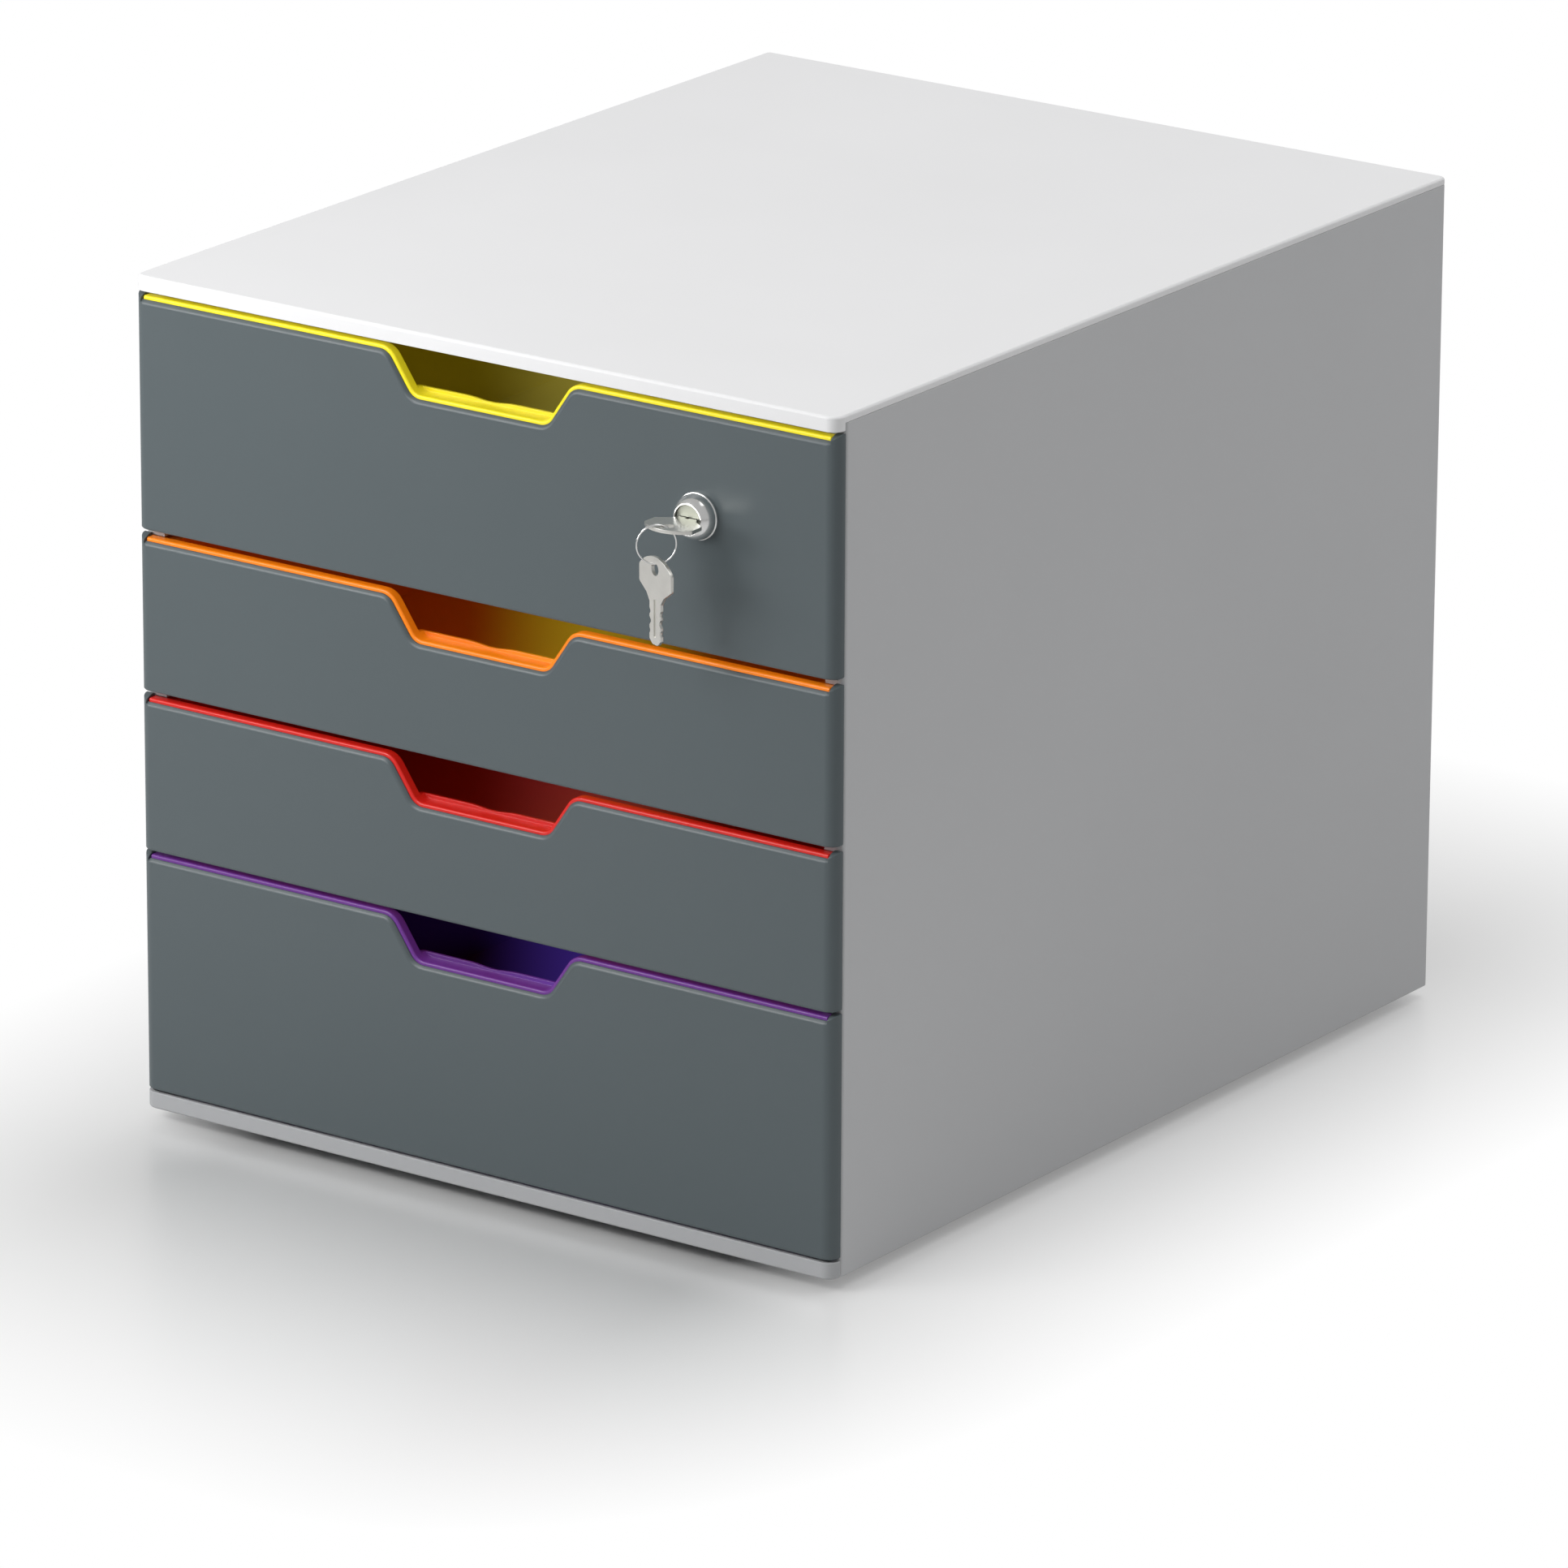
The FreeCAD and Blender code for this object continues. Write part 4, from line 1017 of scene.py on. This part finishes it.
@dataclass
class KeySet:
    """Key in the lock, key ring and spare key."""

    thickness: float = 1.2 * MM
    length: float = 29.0 * MM
    half_bow: float = 9.25 * MM
    bow_sag: float = 4.2 * MM
    side_end: float = 9.8 * MM
    neck_start: float = 12.6 * MM
    half_neck: float = 5.0 * MM
    blade_start: float = 15.2 * MM
    half_blade: float = 3.2 * MM
    tip_start: float = 27.4 * MM
    half_tip: float = 1.5 * MM
    hole_inset: float = 4.1 * MM
    hole_radius: float = 2.1 * MM
    hole_steps: int = 48
    bow_rounding: float = 1.3 * MM
    neck_rounding: float = 0.6 * MM
    root_rounding: float = 0.8 * MM
    end_rounding: float = 0.9 * MM
    edge_rounding: float = 0.14 * MM
    edge_angle: float = 50.0
    crown_steps: int = 8
    arc_steps: int = 4
    notch_depths: tuple[float, ...] = (0.5 * MM, 0.8 * MM, 0.4 * MM)
    notch_pitch: float = 3.2 * MM
    notch_mouth: float = 0.6 * MM
    notch_foot: float = 0.3 * MM
    notch_rounding: float = 0.12 * MM
    groove_half: float = 0.65 * MM
    groove_depth: float = 0.35 * MM
    groove_start: float = 14.0 * MM
    groove_end: float = 26.6 * MM
    groove_rounding: float = 0.6 * MM
    groove_steps: int = 5
    spare_turn: float = -21.5
    ring_turn: float = 45.0
    ring_radius: float = 6.38 * MM
    ring_wire: float = 0.29 * MM
    ring_sides: int = 16
    ring_turns: float = 1.16
    ring_rise: float = 2.05
    ring_shift: float = 0.05 * MM
    ring_end: float = -14.0
    ring_crisp: float = 60.0

    def outline(self) -> list[Point2]:
        """Outline of a key lying flat.

        Returns:
            Its points, with the bow's end at zero and the blade along Y.
        """
        bitting: list[Corner] = []
        for step, depth in enumerate(self.notch_depths, start=1):
            middle = self.blade_start + self.notch_pitch * step
            bitting += [(self.half_blade - fall, middle + away, self.notch_rounding)
                        for fall, away in ((0.0, -self.notch_mouth - depth),
                                           (depth, -self.notch_foot), (depth, self.notch_foot),
                                           (0.0, self.notch_mouth + depth))]
        right = [(self.half_bow, self.bow_sag, self.bow_rounding),
                 (self.half_bow, self.side_end, self.bow_rounding),
                 (self.half_neck, self.neck_start, self.neck_rounding),
                 (self.half_blade, self.blade_start, self.root_rounding), *bitting,
                 (self.half_blade, self.tip_start, self.root_rounding),
                 (self.half_tip, self.length, self.end_rounding)]
        left = [(-x, y, rounding) for x, y, rounding in reversed(right)]
        radius = (self.half_bow ** 2 + self.bow_sag ** 2) / (2 * self.bow_sag)
        reach = math.asin(self.half_bow / radius)
        turns = [reach * share / self.crown_steps
                 for share in range(1 - self.crown_steps, self.crown_steps)]
        crown = [(radius * math.sin(turn), radius * (1 - math.cos(turn)), 0.0) for turn in turns]
        return rounded_path([*right, *left, *crown], self.arc_steps)

    def blank(self, name: str) -> bpy.types.Object:
        """Key lying flat about the middle of its thickness.

        Args:
            name: Name of the new piece.

        Returns:
            The key, not yet in its place.
        """
        mesh = bpy.data.meshes.new(name)
        shape = bmesh.new()
        base = -self.thickness / 2
        rim = [shape.verts.new((x, y, base)) for x, y in self.outline()]
        face = shape.faces.new(rim)
        lifted = bmesh.ops.extrude_face_region(shape, geom=[face])
        for item in lifted["geom"]:
            if isinstance(item, bmesh.types.BMVert):
                item.co.z += self.thickness
        bmesh.ops.recalc_face_normals(shape, faces=shape.faces)
        shape.to_mesh(mesh)
        shape.free()
        piece = linked(name, mesh)
        bevel = piece.modifiers.new("rounding", "BEVEL")
        bevel.width = self.edge_rounding
        bevel.segments = 2
        bevel.limit_method = "ANGLE"
        bevel.angle_limit = math.radians(self.edge_angle)
        cutters = [self._drill(), *(self._groove(side) for side in Side)]
        for cutter in cutters:
            cut = piece.modifiers.new("cut", "BOOLEAN")
            cut.operation = "DIFFERENCE"
            cut.solver = "EXACT"
            cut.object = cutter
        settled(piece)
        for cutter in cutters:
            bpy.data.objects.remove(cutter)
        return piece

    def _drill(self) -> bpy.types.Object:
        """Cutter for the hole in the bow.

        Returns:
            The cutter.
        """
        shape = bmesh.new()
        bmesh.ops.create_cone(shape, cap_ends=True, segments=self.hole_steps,
                              radius1=self.hole_radius, radius2=self.hole_radius,
                              depth=4 * self.thickness,
                              matrix=Matrix.Translation((0, self.hole_inset, 0)))
        return self._cutter("hole_cutter", shape)

    def _groove(self, side: Side) -> bpy.types.Object:
        """Cutter for the groove milled along one face of the blade.

        Args:
            side: Face of the key, as the sign of its height.

        Returns:
            The cutter.
        """
        half, start, end = self.groove_half, self.groove_start, self.groove_end
        path = rounded_path([(x, y, self.groove_rounding) for x, y in
                             ((half, start), (half, end), (-half, end), (-half, start))],
                            self.groove_steps)
        shape = bmesh.new()
        face = shape.faces.new([shape.verts.new((x, y, 0)) for x, y in path])
        lifted = bmesh.ops.extrude_face_region(shape, geom=[face])
        for item in lifted["geom"]:
            if isinstance(item, bmesh.types.BMVert):
                item.co.z += 2 * self.groove_depth
        bmesh.ops.recalc_face_normals(shape, faces=shape.faces)
        middle = side.value * self.thickness / 2
        bmesh.ops.translate(shape, verts=shape.verts, vec=(0, 0, middle - self.groove_depth))
        return self._cutter("groove_cutter", shape)

    @staticmethod
    def _cutter(name: str, shape: bmesh.types.BMesh) -> bpy.types.Object:
        """Object that cuts another one.

        Args:
            name: Name of the cutter.
            shape: Its form, which is freed.

        Returns:
            The cutter.
        """
        mesh = bpy.data.meshes.new(name)
        shape.to_mesh(mesh)
        shape.free()
        return linked(name, mesh)

    def key(self) -> None:
        """Key in the lock, lying level."""
        low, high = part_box("key")
        piece = self.blank("key_in_plug")
        piece.data.transform(Matrix.Translation(
            ((low.x + high.x) / 2, low.y, (low.z + high.z) / 2)))
        dressed(evened(piece), KEY_NICKEL, "key_in_lock", "key")

    def spare(self) -> None:
        """Spare key, hanging from the ring with its blade down."""
        low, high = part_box("spare_key")
        turn = math.radians(self.spare_turn)
        across = Vector((math.cos(turn), math.sin(turn), 0))
        normal = across.cross(Vector((0, 0, -1)))
        place = Matrix((across, (0, 0, -1), normal)).transposed().to_4x4()
        end = Vector(((low.x + high.x) / 2, (low.y + high.y) / 2, high.z))
        piece = self.blank("key_hanging")
        piece.data.transform(Matrix.Translation(end) @ place)
        dressed(evened(piece), KEY_NICKEL, "hanging_key", "spare_key")

    def ring(self) -> None:
        """Wire ring with overlapping ends through both bows."""
        low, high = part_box("key_ring")
        centre = (low + high) / 2
        turn = math.radians(self.ring_turn)
        outward = Vector((-math.sin(turn), -math.cos(turn), 0))
        axis = Vector((-outward.y, outward.x, 0))
        rise = self.ring_rise * self.ring_wire
        middle = Matrix.Translation((0, 0, self.ring_shift - rise / 2))
        start = math.radians(-180.0 * (self.ring_turns - 1.0) + self.ring_end)
        place = Matrix((outward, axis.cross(outward), axis)).transposed().to_4x4()
        coil = CoilTree("ring_wire").swept("split_ring", {
            "Turns": self.ring_turns, "Radius": self.ring_radius, "Length": rise,
            "Section": self.ring_wire, "Sides": self.ring_sides,
            "Finish": LOCK_CHROME.material()},
            Matrix.Translation(centre) @ place @ Matrix.Rotation(start, 4, "Z") @ middle)
        dressed(evened(coil, self.ring_crisp), LOCK_CHROME, "ring", "key_ring")

    def build(self) -> None:
        """Makes both keys and the ring."""
        self.key()
        self.ring()
        self.spare()


@dataclass(frozen=True)
class Lamp:
    """Soft rectangular lamp: its place, the point it faces, its two sides and its power."""

    name: str
    place: Point3
    target: Point3
    size: Point2
    power: float

    def hang(self) -> None:
        """Adds the lamp to the scene."""
        data = bpy.data.lights.new(self.name, "AREA")
        data.shape = "RECTANGLE"
        data.size, data.size_y = self.size
        data.energy = self.power
        lamp = bpy.data.objects.new(self.name, data)
        bpy.context.scene.collection.objects.link(lamp)
        aim = Vector(self.target) - Vector(self.place)
        lamp.matrix_world = (Matrix.Translation(self.place)
                             @ aim.to_track_quat("-Z", "Y").to_matrix().to_4x4())


@dataclass
class Studio:
    """White floor, soft lamps and the camera."""

    camera_place: Point3 = (2.081, -2.93404, 1.2914)
    yaw: float = 35.31
    pitch: float = -18.32
    roll: float = 0.28
    lens: float = 259.7
    sensor: float = 36.0
    view_reach: float = 100.0
    floor_size: float = 14.0
    world_level: float = 0.44
    floor_dull: Colour = (0.6, 0.6, 0.6)
    floor_pale: Colour = (0.78, 0.78, 0.775)
    floor_gloss: float = 0.45
    floor_roughness: float = 0.3
    footprint: Point3 = (0.095, 0.19, 10.0)
    stretch: Point3 = (1.5, 1.0, 1.0)
    white_from: float = 0.23
    lamps: tuple[Lamp, ...] = (
        Lamp("overhead", (0.5, 0.9, 2.2), (0, 0, 0.1), (2.4, 1.8), 23.2),
        Lamp("front_left", (-1.0, -2.0, 2.1), (0, -0.1, 0.18), (1.5, 1.1), 27.0),
        Lamp("top_front", (-0.35, -0.6, 0.42), (-0.05, -0.17, 0.27), (0.4, 0.25), 1.9))

    def camera(self) -> None:
        """Camera at the photograph's place."""
        data = bpy.data.cameras.new("camera")
        data.lens = self.lens
        data.sensor_width = self.sensor
        data.clip_end = self.view_reach
        camera = bpy.data.objects.new("camera", data)
        bpy.context.scene.collection.objects.link(camera)
        turn = (Matrix.Rotation(math.radians(self.yaw), 4, "Z")
                @ Matrix.Rotation(math.radians(90 + self.pitch), 4, "X")
                @ Matrix.Rotation(math.radians(self.roll), 4, "Z"))
        camera.matrix_world = Matrix.Translation(self.camera_place) @ turn
        bpy.context.scene.camera = camera

    @staticmethod
    def _seen(bench: Bench) -> bpy.types.NodeSocket:
        """One for rays that show the background, zero for those that light the object."""
        return bench.node("ShaderNodeLightPath").outputs["Is Camera Ray"]

    def world(self) -> None:
        """Plain even light all round, white where it is seen."""
        world = bpy.data.worlds.new("studio")
        world.use_nodes = True
        bench = Bench(world.node_tree)
        plain = bench.node("ShaderNodeBackground", None,
                           {"Color": WHITE, "Strength": self.world_level})
        white = bench.node("ShaderNodeBackground", None, {"Color": WHITE, "Strength": 1.0})
        seen = bench.blend(self._seen(bench), plain.outputs[0], white.outputs[0])
        bench.node("ShaderNodeOutputWorld", None, {"Surface": seen})
        bpy.context.scene.world = world

    def floor(self) -> None:
        """Pale glossy floor with the shadow and a soft reflection, white further out."""
        half = self.floor_size / 2
        mesh = bpy.data.meshes.new("floor")
        mesh.from_pydata([(-half, -half, 0), (half, -half, 0), (half, half, 0), (-half, half, 0)],
                         [], [(0, 1, 2, 3)])
        floor = linked("floor", mesh)
        material = bpy.data.materials.new("floor")
        material.use_nodes = True
        bench = Bench(material.node_tree)
        dull = bench.node("ShaderNodeBsdfDiffuse", None, {"Color": (*self.floor_dull, 1)})
        pale = bench.node("ShaderNodeBsdfDiffuse", None, {"Color": (*self.floor_pale, 1)})
        gloss = bench.node("ShaderNodeBsdfGlossy", None,
                           {"Color": WHITE, "Roughness": self.floor_roughness})
        polished = bench.blend(self.floor_gloss, pale.outputs[0], gloss.outputs[0])
        place = bench.node("ShaderNodeTexCoord").outputs["Object"]
        for operation, other in (("ABSOLUTE", None), ("SUBTRACT", self.footprint),
                                 ("MAXIMUM", (0.0, 0.0, 0.0)), ("MULTIPLY", self.stretch)):
            place = bench.node("ShaderNodeVectorMath", {"operation": operation},
                               {0: place} | ({1: other} if other else {})).outputs["Vector"]
        away = bench.node("ShaderNodeVectorMath", {"operation": "LENGTH"}, {0: place})
        fade = bench.node("ShaderNodeMapRange", None,
                          {"Value": bench.value(away, "Value"), "From Max": self.white_from})
        white = bench.node("ShaderNodeEmission", None, {"Color": WHITE, "Strength": 1.0})
        backdrop = bench.blend(bench.value(fade), polished, white.outputs[0])
        bench.surface(bench.blend(self._seen(bench), dull.outputs[0], backdrop))
        mesh.materials.append(material)

    def build(self) -> None:
        """Sets up the whole studio."""
        self.floor()
        self.world()
        for lamp in self.lamps:
            lamp.hang()
        self.camera()
        bpy.context.scene.view_settings.view_transform = "Standard"


def main() -> None:
    """Builds the studio and every piece in order."""
    logging.basicConfig(level=logging.INFO, format="%(name)s %(message)s")
    Studio().build()
    Housing().build()
    for number, colour in enumerate(TrayColour, start=1):
        Drawer(number, colour).build()
    CamLock().build()
    KeySet().build()
    LOG.info("all pieces made")


if __name__ == "__main__":
    main()
